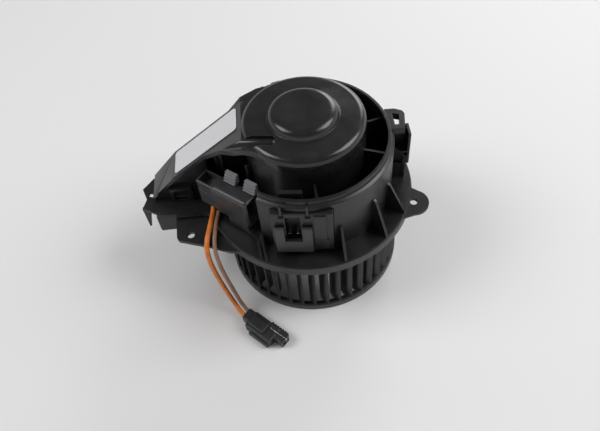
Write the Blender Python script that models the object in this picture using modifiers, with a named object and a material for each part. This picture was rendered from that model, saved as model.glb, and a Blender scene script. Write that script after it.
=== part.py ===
"""Car cabin blower motor: moulded holder, duct cover, squirrel-cage wheel and the motor inside.

The wheel's axis is Z. The unit stands on the wheel's inlet ring, and the duct arm points to -X.
Lengths are in metres and are written as millimetres times MM.
"""
import math

import bmesh
import bpy
from mathutils import Matrix, Vector

MM = 0.001

# Clearances
FIT = 0.3 * MM
OVERLAP = 0.5 * MM
MOULD_STEP = 0.1 * MM
CUT_MARGIN = 4.0 * MM

# Fan wheel
WHEEL_RADIUS = 75.0 * MM
WHEEL_HEIGHT = 70.0 * MM
INLET_RING_HEIGHT = 7.0 * MM
INLET_RING_WIDTH = 4.2 * MM
BLADE_COUNT = 44
BLADE_DEPTH = 11.5 * MM
BLADE_THICKNESS = 1.1 * MM
BLADE_SWEEP = 6.0 * MM
BLADE_SETBACK = 1.0 * MM
BOWL_THICKNESS = 2.0 * MM
BOWL_DEPTH = 25.0 * MM
HUB_RADIUS = 9.0 * MM
HUB_BOTTOM = 29.0 * MM
HUB_LENGTH = 18.0 * MM

# Motor shaft
SHAFT_RADIUS = 4.0 * MM
SHAFT_BOTTOM = 26.0 * MM
PUSH_NUT_RADIUS = 8.5 * MM
PUSH_NUT_THICKNESS = 1.4 * MM

# Holder: flange plate and skirt
WHEEL_RUNNING_GAP = 8.0 * MM
FLANGE_THICKNESS = 2.6 * MM
FLANGE_RADIUS = 84.4 * MM
SKIRT_WALL = 2.4 * MM
SKIRT_DROP = 6.0 * MM

# Holder: ring wall
RING_LIP_RADIUS = 65.4 * MM
RING_COLLAR_RADIUS = 67.7 * MM
RING_WALL = 2.6 * MM
RING_WALL_HEIGHT = 57.1 * MM
RING_LIP_HEIGHT = 5.0 * MM
RING_SEGMENTS = 64
CUP_SEGMENTS = 44

# Holder: motor cup
CUP_RADIUS = 46.3 * MM
CUP_WALL = 2.5 * MM
CUP_RISE = 65.1 * MM
CUP_DROP = 28.6 * MM
CUP_FLOOR_THICKNESS = 2.5 * MM
CUP_FLOOR_HOLE = 13.0 * MM
CUP_CORNER = 4.0 * MM
AIR_SLOT_COUNT = 8
AIR_SLOT_WIDTH = 7.0 * MM
AIR_SLOT_INNER = 22.0 * MM
TONGUE_HEIGHT = 3.0 * MM
TONGUE_THICKNESS = 1.8 * MM

# Holder: ribs between the cup and the ring wall, and gussets outside
RIB_THICKNESS = 1.8 * MM
RIB_TOP_DROP = 5.5 * MM
RIB_ANGLES = (42.0, 13.0, -22.0, -87.0, -135.5, -156.5, 75.0, 110.0, 140.0)
GUSSET_THICKNESS = 2.0 * MM
GUSSET_WALL_AND_RIM_ANGLES = ((-133.0, -121.0), (-129.5, -118.0), (-73.6, -75.9), (-47.6, -49.2),
                              (-30.0, -30.0),
                              (35.0, 35.0), (70.0, 70.0), (105.0, 105.0), (140.0, 140.0))
GUSSET_HEIGHTS = (14.0, 14.0, 26.0, 33.0, 30.0, 34.0, 34.0, 34.0, 34.0)

# Motor
CAN_RADIUS = 37.0 * MM
CAN_WALL = 1.6 * MM
CAN_LENGTH = 70.0 * MM
CAN_CORNER = 4.0 * MM
BOSS_RADIUS = 10.0 * MM
BOSS_DROP = 8.0 * MM
BEARING_RADIUS = 8.1 * MM
BEARING_LENGTH = 7.2 * MM
SHAFT_BEARING_GAP = 0.3 * MM
END_BELL_THICKNESS = 2.5 * MM
END_BELL_BOSS_RISE = 18.2 * MM
LOWER_DAMPER_THICKNESS = 3.0 * MM
LOWER_DAMPER_RADIUS = 20.0 * MM
UPPER_DAMPER_HEIGHT = 9.0 * MM
UPPER_DAMPER_NOTCHES = 6
UPPER_DAMPER_NOTCH_WIDTH = 13.0 * MM
MAGNET_THICKNESS = 5.2 * MM
MAGNET_LENGTH = 46.0 * MM
MAGNET_HALF_ANGLE = 65.0
MAGNET_SPRING_THICKNESS = 1.2 * MM
STACK_AIR_GAP = 0.7 * MM
STACK_LENGTH = 36.0 * MM
STACK_FLOOR_GAP = 10.5 * MM
SLOT_COUNT = 10
SLOT_RADIUS = 4.0 * MM
SLOT_MOUTH = 2.4 * MM
SLOT_DEPTH = 6.8 * MM
END_TURN_HEIGHT = 5.5 * MM
COMMUTATOR_RADIUS = 11.0 * MM
COMMUTATOR_LENGTH = 11.5 * MM
COMMUTATOR_BARS = 10

# Brush gear
CARD_THICKNESS = 2.4 * MM
CARD_HOLE_RADIUS = 13.0 * MM
BRUSH_WIDTH = 5.4 * MM
BRUSH_HEIGHT = 6.4 * MM
BRUSH_LENGTH = 10.0 * MM
BRUSH_TUBE_WALL = 0.8 * MM
BRUSH_TUBE_LENGTH = 18.0 * MM
BRUSH_TUBE_START = 13.2 * MM
SPRING_WIRE = 0.35 * MM
SPRING_RADIUS = 1.9 * MM
SPRING_TURNS = 4
CHOKE_RADIUS = 3.0 * MM
CHOKE_LENGTH = 13.0 * MM

# Motor cover and duct arm
COVER_HEIGHT = 11.3 * MM
COVER_WALL = 2.2 * MM
COVER_SHOULDER = 5.5 * MM
SCOOP_DEPTH = 4.8 * MM
DOME_RADIUS = 27.4 * MM
DOME_RISE = 6.6 * MM
ARM_FRONT = -3.0 * MM
ARM_WIDTH = 28.0 * MM
ARM_BEND = 46.0 * MM
ARM_BEND_HEIGHT = 154.3 * MM
ARM_SLOPE_END = 106.0 * MM
ARM_SLOPE_HEIGHT = 109.0 * MM
ARM_TIP = 129.4 * MM
ARM_TIP_HEIGHT = 83.6 * MM
LID_LIP = 4.6 * MM
LID_LIP_WALL = 1.8 * MM
LABEL_LENGTH = 69.0 * MM
LABEL_WIDTH = 22.8 * MM
LABEL_THICKNESS = 0.4 * MM
LABEL_INSET = 4.4 * MM

# Duct trough, its mouth and the left fixing plate
TROUGH_WALL = 1.8 * MM
MOUTH_LEFT = 127.0 * MM
MOUTH_RIGHT = 110.0 * MM
MOUTH_FRONT = -18.5 * MM
MOUTH_BACK = 24.0 * MM
MOUTH_DROP = 17.0 * MM
MOUTH_WALL = 2.0 * MM
PLATE_STEP = 3.0 * MM
FIXING_HOLE_RADIUS = 3.1 * MM
PLATE_HOLE = (-98.3 * MM, -38.2 * MM)

# Right fixing ear
EAR_HOLE = (81.2 * MM, -31.9 * MM)
EAR_RADIUS = 12.2 * MM

# Supply connector shell beside the ring wall
SHELL_ANGLE = -39.3
SHELL_CENTRE = (-64.3 * MM, -23.0 * MM)
SHELL_LENGTH = 50.5 * MM
SHELL_DEPTH = 16.0 * MM
SHELL_TOP = 115.0 * MM
SHELL_HEIGHT = 29.7 * MM
SHELL_WALL = 1.8 * MM
SHELL_FOOT_LENGTH = 22.0 * MM
SHELL_ROUND = 3.5 * MM
SHELL_MOUTH_ROOM = 13.0 * MM
LUG_LENGTH = 12.0 * MM
LUG_DEPTH = 10.0 * MM
LUG_HEIGHT = 8.6 * MM
LUG_SPACING = 19.2 * MM
LUG_RIDGES = 4
LUG_OVERHANG = 2.6 * MM

# Regulator in the front of the ring wall
REGULATOR_ANGLE = -98.0
REGULATOR_WIDTH = 45.0 * MM
REGULATOR_BACK = 58.0 * MM
REGULATOR_FRONT = 69.3 * MM
REGULATOR_BASE = 4.4 * MM
REGULATOR_HEIGHT = 43.5 * MM
SOCKET_WIDTH = 28.0 * MM
SOCKET_HEIGHT = 29.0 * MM
SOCKET_THICKNESS = 3.4 * MM
SOCKET_NOTCH_WIDTH = 13.0 * MM
SOCKET_NOTCH_DEPTH = 15.0 * MM
SOCKET_OFFSET = -6.5 * MM
HEAT_SINK_WIDTH = 26.0 * MM
HEAT_SINK_HEIGHT = 34.0 * MM
HEAT_SINK_FINS = 6

# Free lead and plug
ORANGE_DIAMETER = 4.0 * MM
BROWN_DIAMETER = 3.3 * MM
ORANGE_ROUTE = ((-79.4, -16.5, 83.1), (-79.7, -22.0, 83.3), (-82.3, -37.8, 83.9), (-84.3, -48.6, 83.2),
                (-85.3, -54.6, 78.0), (-85.4, -57.0, 68.0), (-84.2, -58.0, 52.0), (-81.0, -60.0, 33.0),
                (-75.6, -65.0, 15.5), (-69.6, -73.0, 7.2), (-65.6, -77.6, 5.6))
BROWN_ROUTE = ((-74.6, -20.2, 83.1), (-75.6, -25.0, 83.4), (-77.7, -38.4, 83.6), (-78.6, -51.0, 82.9),
               (-78.7, -57.2, 77.6), (-78.3, -59.0, 67.0), (-76.7, -60.6, 51.0), (-73.0, -63.8, 33.0),
               (-68.6, -68.0, 16.0), (-64.4, -72.0, 8.0), (-61.6, -74.4, 5.6))
ROUTE_STEP = 2.6
PLUG_ANGLE = -44.0
PLUG_START = (-63.0 * MM, -78.6 * MM)
PLUG_LENGTH = 30.0 * MM
PLUG_WIDTH = 18.0 * MM
PLUG_HEIGHT = 11.0 * MM
PLUG_COLLAR_LENGTH = 9.0 * MM
PLUG_WALL = 1.6 * MM

# Heights and radii that follow from the sizes above
FLANGE_BOTTOM = WHEEL_HEIGHT + WHEEL_RUNNING_GAP
FLANGE_TOP = FLANGE_BOTTOM + FLANGE_THICKNESS
RING_TOP = FLANGE_TOP + RING_WALL_HEIGHT
CUP_TOP = FLANGE_TOP + CUP_RISE
CUP_BOTTOM = FLANGE_TOP - CUP_DROP
CUP_FLOOR = CUP_BOTTOM + CUP_FLOOR_THICKNESS
CUP_BORE = CUP_RADIUS - CUP_WALL
COVER_TOP = CUP_TOP + COVER_HEIGHT
COVER_RADIUS = CUP_RADIUS + 0.3 * MM
CAN_BOTTOM = CUP_FLOOR + LOWER_DAMPER_THICKNESS + 2 * FIT
CAN_TOP = CAN_BOTTOM + CAN_LENGTH
CAN_BORE = CAN_RADIUS - CAN_WALL
BOSS_BOTTOM = CAN_BOTTOM - BOSS_DROP
BELL_BOTTOM = CAN_TOP + FIT
BELL_TOP = BELL_BOTTOM + END_BELL_THICKNESS + END_BELL_BOSS_RISE
SHAFT_HOLE = SHAFT_RADIUS + SHAFT_BEARING_GAP
SHAFT_TOP = BELL_TOP - END_BELL_THICKNESS - 2 * FIT
STACK_BOTTOM = CAN_BOTTOM + CAN_WALL + STACK_FLOOR_GAP
STACK_TOP = STACK_BOTTOM + STACK_LENGTH
MAGNET_BORE = CAN_BORE - FIT - MAGNET_THICKNESS
STACK_RADIUS = MAGNET_BORE - STACK_AIR_GAP
COMMUTATOR_BOTTOM = STACK_TOP + END_TURN_HEIGHT + 2 * FIT
COMMUTATOR_TOP = COMMUTATOR_BOTTOM + COMMUTATOR_LENGTH
CARD_TOP = CAN_TOP - FIT
CARD_BOTTOM = CARD_TOP - CARD_THICKNESS
BRUSH_MIDDLE = COMMUTATOR_BOTTOM + COMMUTATOR_LENGTH / 2 + OVERLAP
TROUGH_TOP_GAP = COVER_WALL + FIT
TROUGH_FRONT = ARM_FRONT + LID_LIP_WALL + FIT
TROUGH_BACK = ARM_FRONT + ARM_WIDTH - LID_LIP_WALL - FIT
SHELL_BOTTOM = SHELL_TOP - SHELL_HEIGHT

for old_object in list(bpy.data.objects):
    bpy.data.objects.remove(old_object, do_unlink=True)

PARTS = bpy.data.collections.new("cabin_blower_motor")
CUTTERS = bpy.data.collections.new("cutters")
bpy.context.scene.collection.children.link(PARTS)
bpy.context.scene.collection.children.link(CUTTERS)


def material(name, colour, roughness, metallic=0.0):
    """One Principled material; the colour is linear."""
    made = bpy.data.materials.new(name)
    made.use_nodes = True
    shader = made.node_tree.nodes["Principled BSDF"]
    shader.inputs["Base Color"].default_value = (*colour, 1.0)
    shader.inputs["Roughness"].default_value = roughness
    shader.inputs["Metallic"].default_value = metallic
    made.diffuse_color = (*colour, 1.0)
    return made


HOLDER_BLACK = material("holder_black_polypropylene", (0.021, 0.021, 0.022), 0.42)
COVER_BLACK = material("cover_black_polypropylene", (0.036, 0.036, 0.038), 0.34)
WHEEL_BLACK = material("wheel_black_polypropylene", (0.028, 0.028, 0.028), 0.45)
SHELL_GREY = material("connector_dark_grey_nylon", (0.06, 0.06, 0.062), 0.38)
LUG_GREY = material("lug_grey_nylon", (0.22, 0.22, 0.23), 0.45)
STICKER_WHITE = material("sticker_white_paper", (0.78, 0.78, 0.78), 0.55)
ORANGE_PVC = material("orange_pvc", (0.72, 0.25, 0.05), 0.4)
BROWN_PVC = material("brown_pvc", (0.3, 0.14, 0.08), 0.4)
PLUG_BLACK = material("plug_black_nylon", (0.03, 0.03, 0.03), 0.4)
TINNED_BRASS = material("tinned_brass", (0.75, 0.74, 0.7), 0.25, 1.0)
SHAFT_STEEL = material("ground_shaft_steel", (0.55, 0.55, 0.56), 0.2, 1.0)
CAN_STEEL = material("zinc_plated_can_steel", (0.5, 0.51, 0.52), 0.32, 1.0)
SPRING_STEEL = material("spring_steel", (0.4, 0.4, 0.42), 0.3, 1.0)
BRONZE = material("sintered_bronze", (0.45, 0.3, 0.15), 0.55, 1.0)
LAMINATION_STEEL = material("lamination_steel", (0.3, 0.3, 0.31), 0.5, 1.0)
WINDING_COPPER = material("enamelled_copper_wire", (0.45, 0.13, 0.05), 0.3, 1.0)
COPPER = material("commutator_copper", (0.7, 0.32, 0.18), 0.3, 1.0)
FERRITE = material("magnet_ferrite", (0.05, 0.05, 0.052), 0.7)
CARD_BROWN = material("card_brown_phenolic", (0.16, 0.07, 0.03), 0.5)
BRASS = material("brush_tube_brass", (0.7, 0.5, 0.2), 0.3, 1.0)
CARBON = material("brush_carbon", (0.03, 0.03, 0.03), 0.65)
DAMPER_RUBBER = material("damper_rubber", (0.02, 0.02, 0.02), 0.8)
CAPACITOR_FILM = material("capacitor_blue_epoxy", (0.03, 0.1, 0.3), 0.4)
SINK_ALUMINIUM = material("extruded_aluminium", (0.7, 0.71, 0.72), 0.4, 1.0)


def link_blank(name, mesh):
    """A working shape: in the cutters collection, drawn as wire and never rendered."""
    made = bpy.data.objects.new(name, mesh)
    made.hide_render = True
    made.display_type = "WIRE"
    CUTTERS.objects.link(made)
    return made


def mesh_from_bmesh(name, shape):
    """Store a bmesh in a new mesh and free it."""
    mesh = bpy.data.meshes.new(name)
    shape.to_mesh(mesh)
    shape.free()
    return mesh


def turned(name, profile, segments=48):
    """Turn a profile of (radius, height) points about Z; its outer side runs from top to bottom."""
    shape = bmesh.new()
    points = [shape.verts.new((radius, 0.0, height)) for radius, height in profile]
    for first, second in zip(points, points[1:]):
        shape.edges.new((first, second))
    if profile[0][0] > 0.0:
        shape.edges.new((points[-1], points[0]))
    made = link_blank(name, mesh_from_bmesh(name, shape))
    screw = made.modifiers.new("turn", "SCREW")
    screw.axis = "Z"
    screw.angle = math.tau
    screw.steps = segments
    screw.render_steps = segments
    screw.use_merge_vertices = True
    screw.merge_threshold = 0.00001
    return made


def ring(name, outer, inner, bottom, top, segments=48):
    """A plain turned ring."""
    return turned(name, ((outer, top), (outer, bottom), (inner, bottom), (inner, top)), segments)


def rod(name, radius, bottom, top, segments=24, tip_radius=None):
    """A cylinder, or a cone with tip_radius, standing on Z."""
    shape = bmesh.new()
    upper = radius if tip_radius is None else tip_radius
    middle = Matrix.Translation((0.0, 0.0, (bottom + top) / 2))
    bmesh.ops.create_cone(shape, cap_ends=True, segments=segments, radius1=radius, radius2=upper,
                          depth=top - bottom, matrix=middle)
    return link_blank(name, mesh_from_bmesh(name, shape))


def block(name, low, high, round_edges=0.0, round_steps=2):
    """A box between two corners, with its edges rounded where asked."""
    shape = bmesh.new()
    bmesh.ops.create_cube(shape, size=1.0)
    size = Vector(high) - Vector(low)
    bmesh.ops.scale(shape, vec=size, verts=shape.verts)
    bmesh.ops.translate(shape, vec=(Vector(high) + Vector(low)) / 2, verts=shape.verts)
    made = link_blank(name, mesh_from_bmesh(name, shape))
    if round_edges > 0.0:
        bevel = made.modifiers.new("round", "BEVEL")
        bevel.width = round_edges
        bevel.segments = round_steps
        bevel.limit_method = "ANGLE"
    return made


def evaluated_mesh(source):
    """The mesh of an object with its modifiers applied."""
    graph = bpy.context.evaluated_depsgraph_get()
    return bpy.data.meshes.new_from_object(source.evaluated_get(graph), depsgraph=graph)


def curve_to_blank(curve_object):
    """Turn a curve object into a welded mesh blank and remove the curve."""
    mesh = evaluated_mesh(curve_object)
    shape = bmesh.new()
    shape.from_mesh(mesh)
    bmesh.ops.remove_doubles(shape, verts=shape.verts, dist=0.000002)
    shape.to_mesh(mesh)
    shape.free()
    name = curve_object.name
    place = curve_object.matrix_world.copy()
    bpy.data.objects.remove(curve_object, do_unlink=True)
    made = link_blank(name, mesh)
    made.matrix_world = place
    return made


def flat(name, outlines, bottom, top):
    """A flat outline, with further outlines as holes, between two heights."""
    curve = bpy.data.curves.new(name, "CURVE")
    curve.dimensions = "2D"
    curve.fill_mode = "BOTH"
    curve.extrude = (top - bottom) / 2
    for outline in outlines:
        spline = curve.splines.new("POLY")
        spline.points.add(len(outline) - 1)
        for point, (x, y) in zip(spline.points, outline):
            point.co = (x, y, 0.0, 1.0)
        spline.use_cyclic_u = True
    made = bpy.data.objects.new(name, curve)
    CUTTERS.objects.link(made)
    bpy.context.view_layer.update()
    blank = curve_to_blank(made)
    blank.data.transform(Matrix.Translation((0.0, 0.0, (bottom + top) / 2)))
    return blank


def side_flat(name, outline, front, back):
    """A side outline of (x, z) points, as thick as from front to back along Y."""
    blank = flat(name, (outline,), -back, -front)
    blank.data.transform(Matrix.Rotation(math.radians(90.0), 4, "X"))
    return blank


def arc(radius, start, end, steps, centre=(0.0, 0.0)):
    """Points on an arc, angles in degrees."""
    points = []
    for step in range(steps + 1):
        angle = math.radians(start + (end - start) * step / steps)
        points.append((centre[0] + radius * math.cos(angle), centre[1] + radius * math.sin(angle)))
    return points


def circle(radius, centre, steps=20):
    """A closed round outline."""
    return arc(radius, 0.0, 360.0 - 360.0 / steps, steps - 1, centre)


def ring_of(blank, count):
    """Repeat a blank evenly about Z in the same object."""
    pattern = bmesh.new()
    source = evaluated_mesh(blank)
    for index in range(count):
        before = len(pattern.verts)
        pattern.from_mesh(source)
        pattern.verts.ensure_lookup_table()
        turn = Matrix.Rotation(math.tau * index / count, 4, "Z")
        bmesh.ops.transform(pattern, matrix=turn, verts=pattern.verts[before:])
    blank.modifiers.clear()
    blank.data = mesh_from_bmesh(blank.name, pattern)
    return blank


def put(blank, x=0.0, y=0.0, z=0.0, turn=0.0):
    """Place a blank, turned about Z by an angle in degrees."""
    blank.location = (x, y, z)
    blank.rotation_euler = (0.0, 0.0, math.radians(turn))
    return blank


def placed(blank, x=0.0, y=0.0, z=0.0, turn=0.0):
    """Settle the modifiers of a working shape, then place it as it stands."""
    bpy.context.view_layer.update()
    mesh = evaluated_mesh(blank)
    blank.modifiers.clear()
    blank.data = mesh
    return put(blank, x, y, z, turn)


def combine(base, others, operation):
    """Add or cut the other shapes by one Boolean on the base."""
    change = base.modifiers.new(operation.lower(), "BOOLEAN")
    change.operation = operation
    if len(others) == 1:
        change.object = others[0]
        return base
    group = bpy.data.collections.new(base.name + "_" + operation.lower())
    CUTTERS.children.link(group)
    for other in others:
        CUTTERS.objects.unlink(other)
        group.objects.link(other)
    change.operand_type = "COLLECTION"
    change.collection = group
    return base


def add(base, *others):
    """Join shapes to the base."""
    return combine(base, others, "UNION")


def cut(base, *others):
    """Cut shapes from the base."""
    return combine(base, others, "DIFFERENCE")


def make_part(name, blank, finish):
    """Turn a working shape into a named part with its material."""
    bpy.context.view_layer.update()
    mesh = evaluated_mesh(blank)
    place = blank.matrix_world.copy()
    mesh.name = name
    mesh.materials.clear()
    mesh.materials.append(finish)
    mesh.shade_smooth()
    mesh.set_sharp_from_angle(angle=math.radians(32.0))
    part = bpy.data.objects.new(name, mesh)
    part.matrix_world = place
    PARTS.objects.link(part)
    bpy.data.objects.remove(blank, do_unlink=True)
    return part


# Fan wheel: inlet ring below, forward-curved blades, and a dished back plate with the hub
def blade_outline():
    """Section of one blade: radial at its inner edge and swept forward at its outer edge."""
    outer = WHEEL_RADIUS - BLADE_SETBACK
    inner = outer - BLADE_DEPTH
    full_turn = math.radians(68.0)
    stations = 3
    upper = []
    lower = []
    for step in range(stations + 1):
        turn = full_turn * step / stations
        radius = inner + BLADE_DEPTH * math.sin(turn) / math.sin(full_turn)
        across = BLADE_SWEEP * (1.0 - math.cos(turn)) / (1.0 - math.cos(full_turn))
        lean = math.atan2(BLADE_SWEEP * math.sin(turn) / (1.0 - math.cos(full_turn)),
                          BLADE_DEPTH * math.cos(turn) / math.sin(full_turn))
        side = BLADE_THICKNESS / 2
        upper.append((radius - side * math.sin(lean), across + side * math.cos(lean)))
        lower.append((radius + side * math.sin(lean), across - side * math.cos(lean)))
    return lower + upper[::-1]


def make_fan_wheel():
    """Moulded squirrel-cage wheel in one piece."""
    rim = WHEEL_RADIUS - 0.5 * MM
    rim_inner = rim - BLADE_DEPTH - 1.5 * MM
    hub_top = HUB_BOTTOM + HUB_LENGTH
    low = WHEEL_HEIGHT - BOWL_DEPTH
    bore = SHAFT_RADIUS + FIT
    bowl_line = ((HUB_RADIUS, low), (30.0 * MM, low), (46.0 * MM, low + 2.0 * MM),
                 (51.5 * MM, low + 6.0 * MM), (rim_inner - 1.0 * MM, WHEEL_HEIGHT - 2.6 * MM),
                 (rim_inner + 2.0 * MM, WHEEL_HEIGHT))
    upper = list(bowl_line) + [(rim, WHEEL_HEIGHT)]
    under = [(radius, height - BOWL_THICKNESS) for radius, height in upper]
    profile = [(HUB_RADIUS, hub_top)] + upper + under[:0:-1]
    profile += [(HUB_RADIUS, low - BOWL_THICKNESS), (HUB_RADIUS, HUB_BOTTOM), (bore, HUB_BOTTOM),
                (bore, hub_top)]
    wheel = turned("wheel_bowl", profile, 54)
    inlet = turned("wheel_inlet_ring", (
        (WHEEL_RADIUS, INLET_RING_HEIGHT - 1.0 * MM), (WHEEL_RADIUS, 0.0),
        (WHEEL_RADIUS - INLET_RING_WIDTH - 1.4 * MM, 0.0), (WHEEL_RADIUS - INLET_RING_WIDTH,
                                                            INLET_RING_HEIGHT),
        (WHEEL_RADIUS - 1.0 * MM, INLET_RING_HEIGHT)), 72)
    blades = ring_of(flat("wheel_blades", (blade_outline(),), INLET_RING_HEIGHT - 2.5 * MM,
                          WHEEL_HEIGHT - BOWL_THICKNESS / 2), BLADE_COUNT)
    stiffener = block("wheel_stiffener", (HUB_RADIUS - OVERLAP, -0.8 * MM, HUB_BOTTOM + 2.0 * MM),
                      (24.0 * MM, 0.8 * MM, low - BOWL_THICKNESS / 2))
    add(wheel, blades, inlet, ring_of(stiffener, 6))
    return make_part("fan_wheel", wheel, WHEEL_BLACK)


def make_shaft_and_nut():
    """Ground shaft with chamfered ends, and the push nut below the hub."""
    chamfer = 0.6 * MM
    shaft = turned("shaft", (
        (0.0, SHAFT_TOP), (SHAFT_RADIUS - chamfer, SHAFT_TOP), (SHAFT_RADIUS, SHAFT_TOP - chamfer),
        (SHAFT_RADIUS, SHAFT_BOTTOM + chamfer), (SHAFT_RADIUS - chamfer, SHAFT_BOTTOM), (0.0,
                                                                                         SHAFT_BOTTOM)), 32)
    make_part("motor_shaft", shaft, SHAFT_STEEL)
    nut_top = HUB_BOTTOM - FIT
    nut = ring("push_nut", PUSH_NUT_RADIUS, SHAFT_RADIUS + FIT, nut_top - PUSH_NUT_THICKNESS, nut_top, 32)
    tooth_gap = block("nut_gap", (0.0, -0.5 * MM, nut_top - CUT_MARGIN),
                      (SHAFT_RADIUS + 2.2 * MM, 0.5 * MM, nut_top + CUT_MARGIN))
    make_part("wheel_push_nut", cut(nut, ring_of(tooth_gap, 6)), SPRING_STEEL)


# Motor: drawn can, end bell, bearings, magnets and armature
def make_motor_shell():
    """Deep-drawn can with its bearing boss, and the end bell that closes it."""
    can = turned("can", (
        (CAN_RADIUS, CAN_TOP), (CAN_RADIUS, CAN_BOTTOM + CAN_CORNER), (CAN_RADIUS - CAN_CORNER, CAN_BOTTOM),
        (BOSS_RADIUS, CAN_BOTTOM), (BOSS_RADIUS, BOSS_BOTTOM), (SHAFT_HOLE + FIT, BOSS_BOTTOM),
        (SHAFT_HOLE + FIT, BOSS_BOTTOM + CAN_WALL), (BEARING_RADIUS + FIT, BOSS_BOTTOM + CAN_WALL),
        (BEARING_RADIUS + FIT, CAN_BOTTOM + CAN_WALL), (CAN_BORE - CAN_CORNER, CAN_BOTTOM + CAN_WALL),
        (CAN_BORE, CAN_BOTTOM + CAN_CORNER + CAN_WALL), (CAN_BORE, CAN_TOP)), 40)
    window = block("can_window", (CAN_BORE - 9.0 * MM, -5.0 * MM, CAN_BOTTOM - CUT_MARGIN),
                   (CAN_BORE - 5.5 * MM, 5.0 * MM, CAN_BOTTOM + CUT_MARGIN))
    cut(can, put(ring_of(window, 6), turn=30.0))
    make_part("motor_can", can, CAN_STEEL)
    boss = BEARING_RADIUS + FIT + CAN_WALL
    plate_top = BELL_BOTTOM + END_BELL_THICKNESS
    bell = turned("bell", (
        (0.0, BELL_TOP), (boss - 1.5 * MM, BELL_TOP), (boss, BELL_TOP - 1.5 * MM), (boss,
                                                                                    plate_top + 1.5 * MM),
        (boss + 2.0 * MM, plate_top), (CAN_RADIUS, plate_top), (CAN_RADIUS, BELL_BOTTOM),
        (BEARING_RADIUS + FIT, BELL_BOTTOM), (BEARING_RADIUS + FIT, BELL_TOP - END_BELL_THICKNESS),
        (0.0, BELL_TOP - END_BELL_THICKNESS)), 40)
    vent = flat("bell_vent", (arc(30.0 * MM, -18.0, 18.0, 3) + arc(16.5 * MM, 18.0, -18.0, 3),),
                BELL_BOTTOM - CUT_MARGIN, plate_top + CUT_MARGIN)
    cut(bell, put(ring_of(vent, 6), turn=30.0))
    make_part("motor_end_bell", bell, CAN_STEEL)


def make_bearings():
    """Two sintered bushes, each in its pocket."""
    lower = BOSS_BOTTOM + CAN_WALL + FIT
    upper = BELL_TOP - END_BELL_THICKNESS - 2 * FIT - BEARING_LENGTH
    for name, bottom in (("bearing_bush_lower", lower), ("bearing_bush_upper", upper)):
        top = bottom + BEARING_LENGTH
        edge = 1.0 * MM
        bush = turned(name + "_blank", (
            (BEARING_RADIUS - edge, top), (BEARING_RADIUS, top - edge), (BEARING_RADIUS, bottom + edge),
            (BEARING_RADIUS - edge, bottom), (SHAFT_HOLE, bottom), (SHAFT_HOLE, top)), 32)
        make_part(name, bush, BRONZE)


def make_magnets():
    """Two ferrite arcs against the can, kept apart by two spring clips."""
    outer = CAN_BORE - FIT
    bottom = STACK_BOTTOM + STACK_LENGTH / 2 - MAGNET_LENGTH / 2
    top = bottom + MAGNET_LENGTH
    half = MAGNET_HALF_ANGLE
    gap = math.degrees(FIT / CAN_BORE)
    for name, facing in (("magnet_right", 0.0), ("magnet_left", 180.0)):
        section = arc(outer, facing - half, facing + half, 20) + arc(MAGNET_BORE, facing + half,
                                                                     facing - half, 20)
        make_part(name, flat(name + "_blank", (section,), bottom, top), FERRITE)
    spread = 90.0 - half - gap
    for name, facing in (("magnet_spring_rear", 90.0), ("magnet_spring_front", 270.0)):
        section = arc(outer, facing - spread, facing + spread, 8)
        section += arc(outer - MAGNET_SPRING_THICKNESS, facing + spread, facing - spread, 8)
        clip = flat(name + "_blank", (section,), bottom + MAGNET_LENGTH / 4, top - MAGNET_LENGTH / 4)
        make_part(name, clip, SPRING_STEEL)


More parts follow.
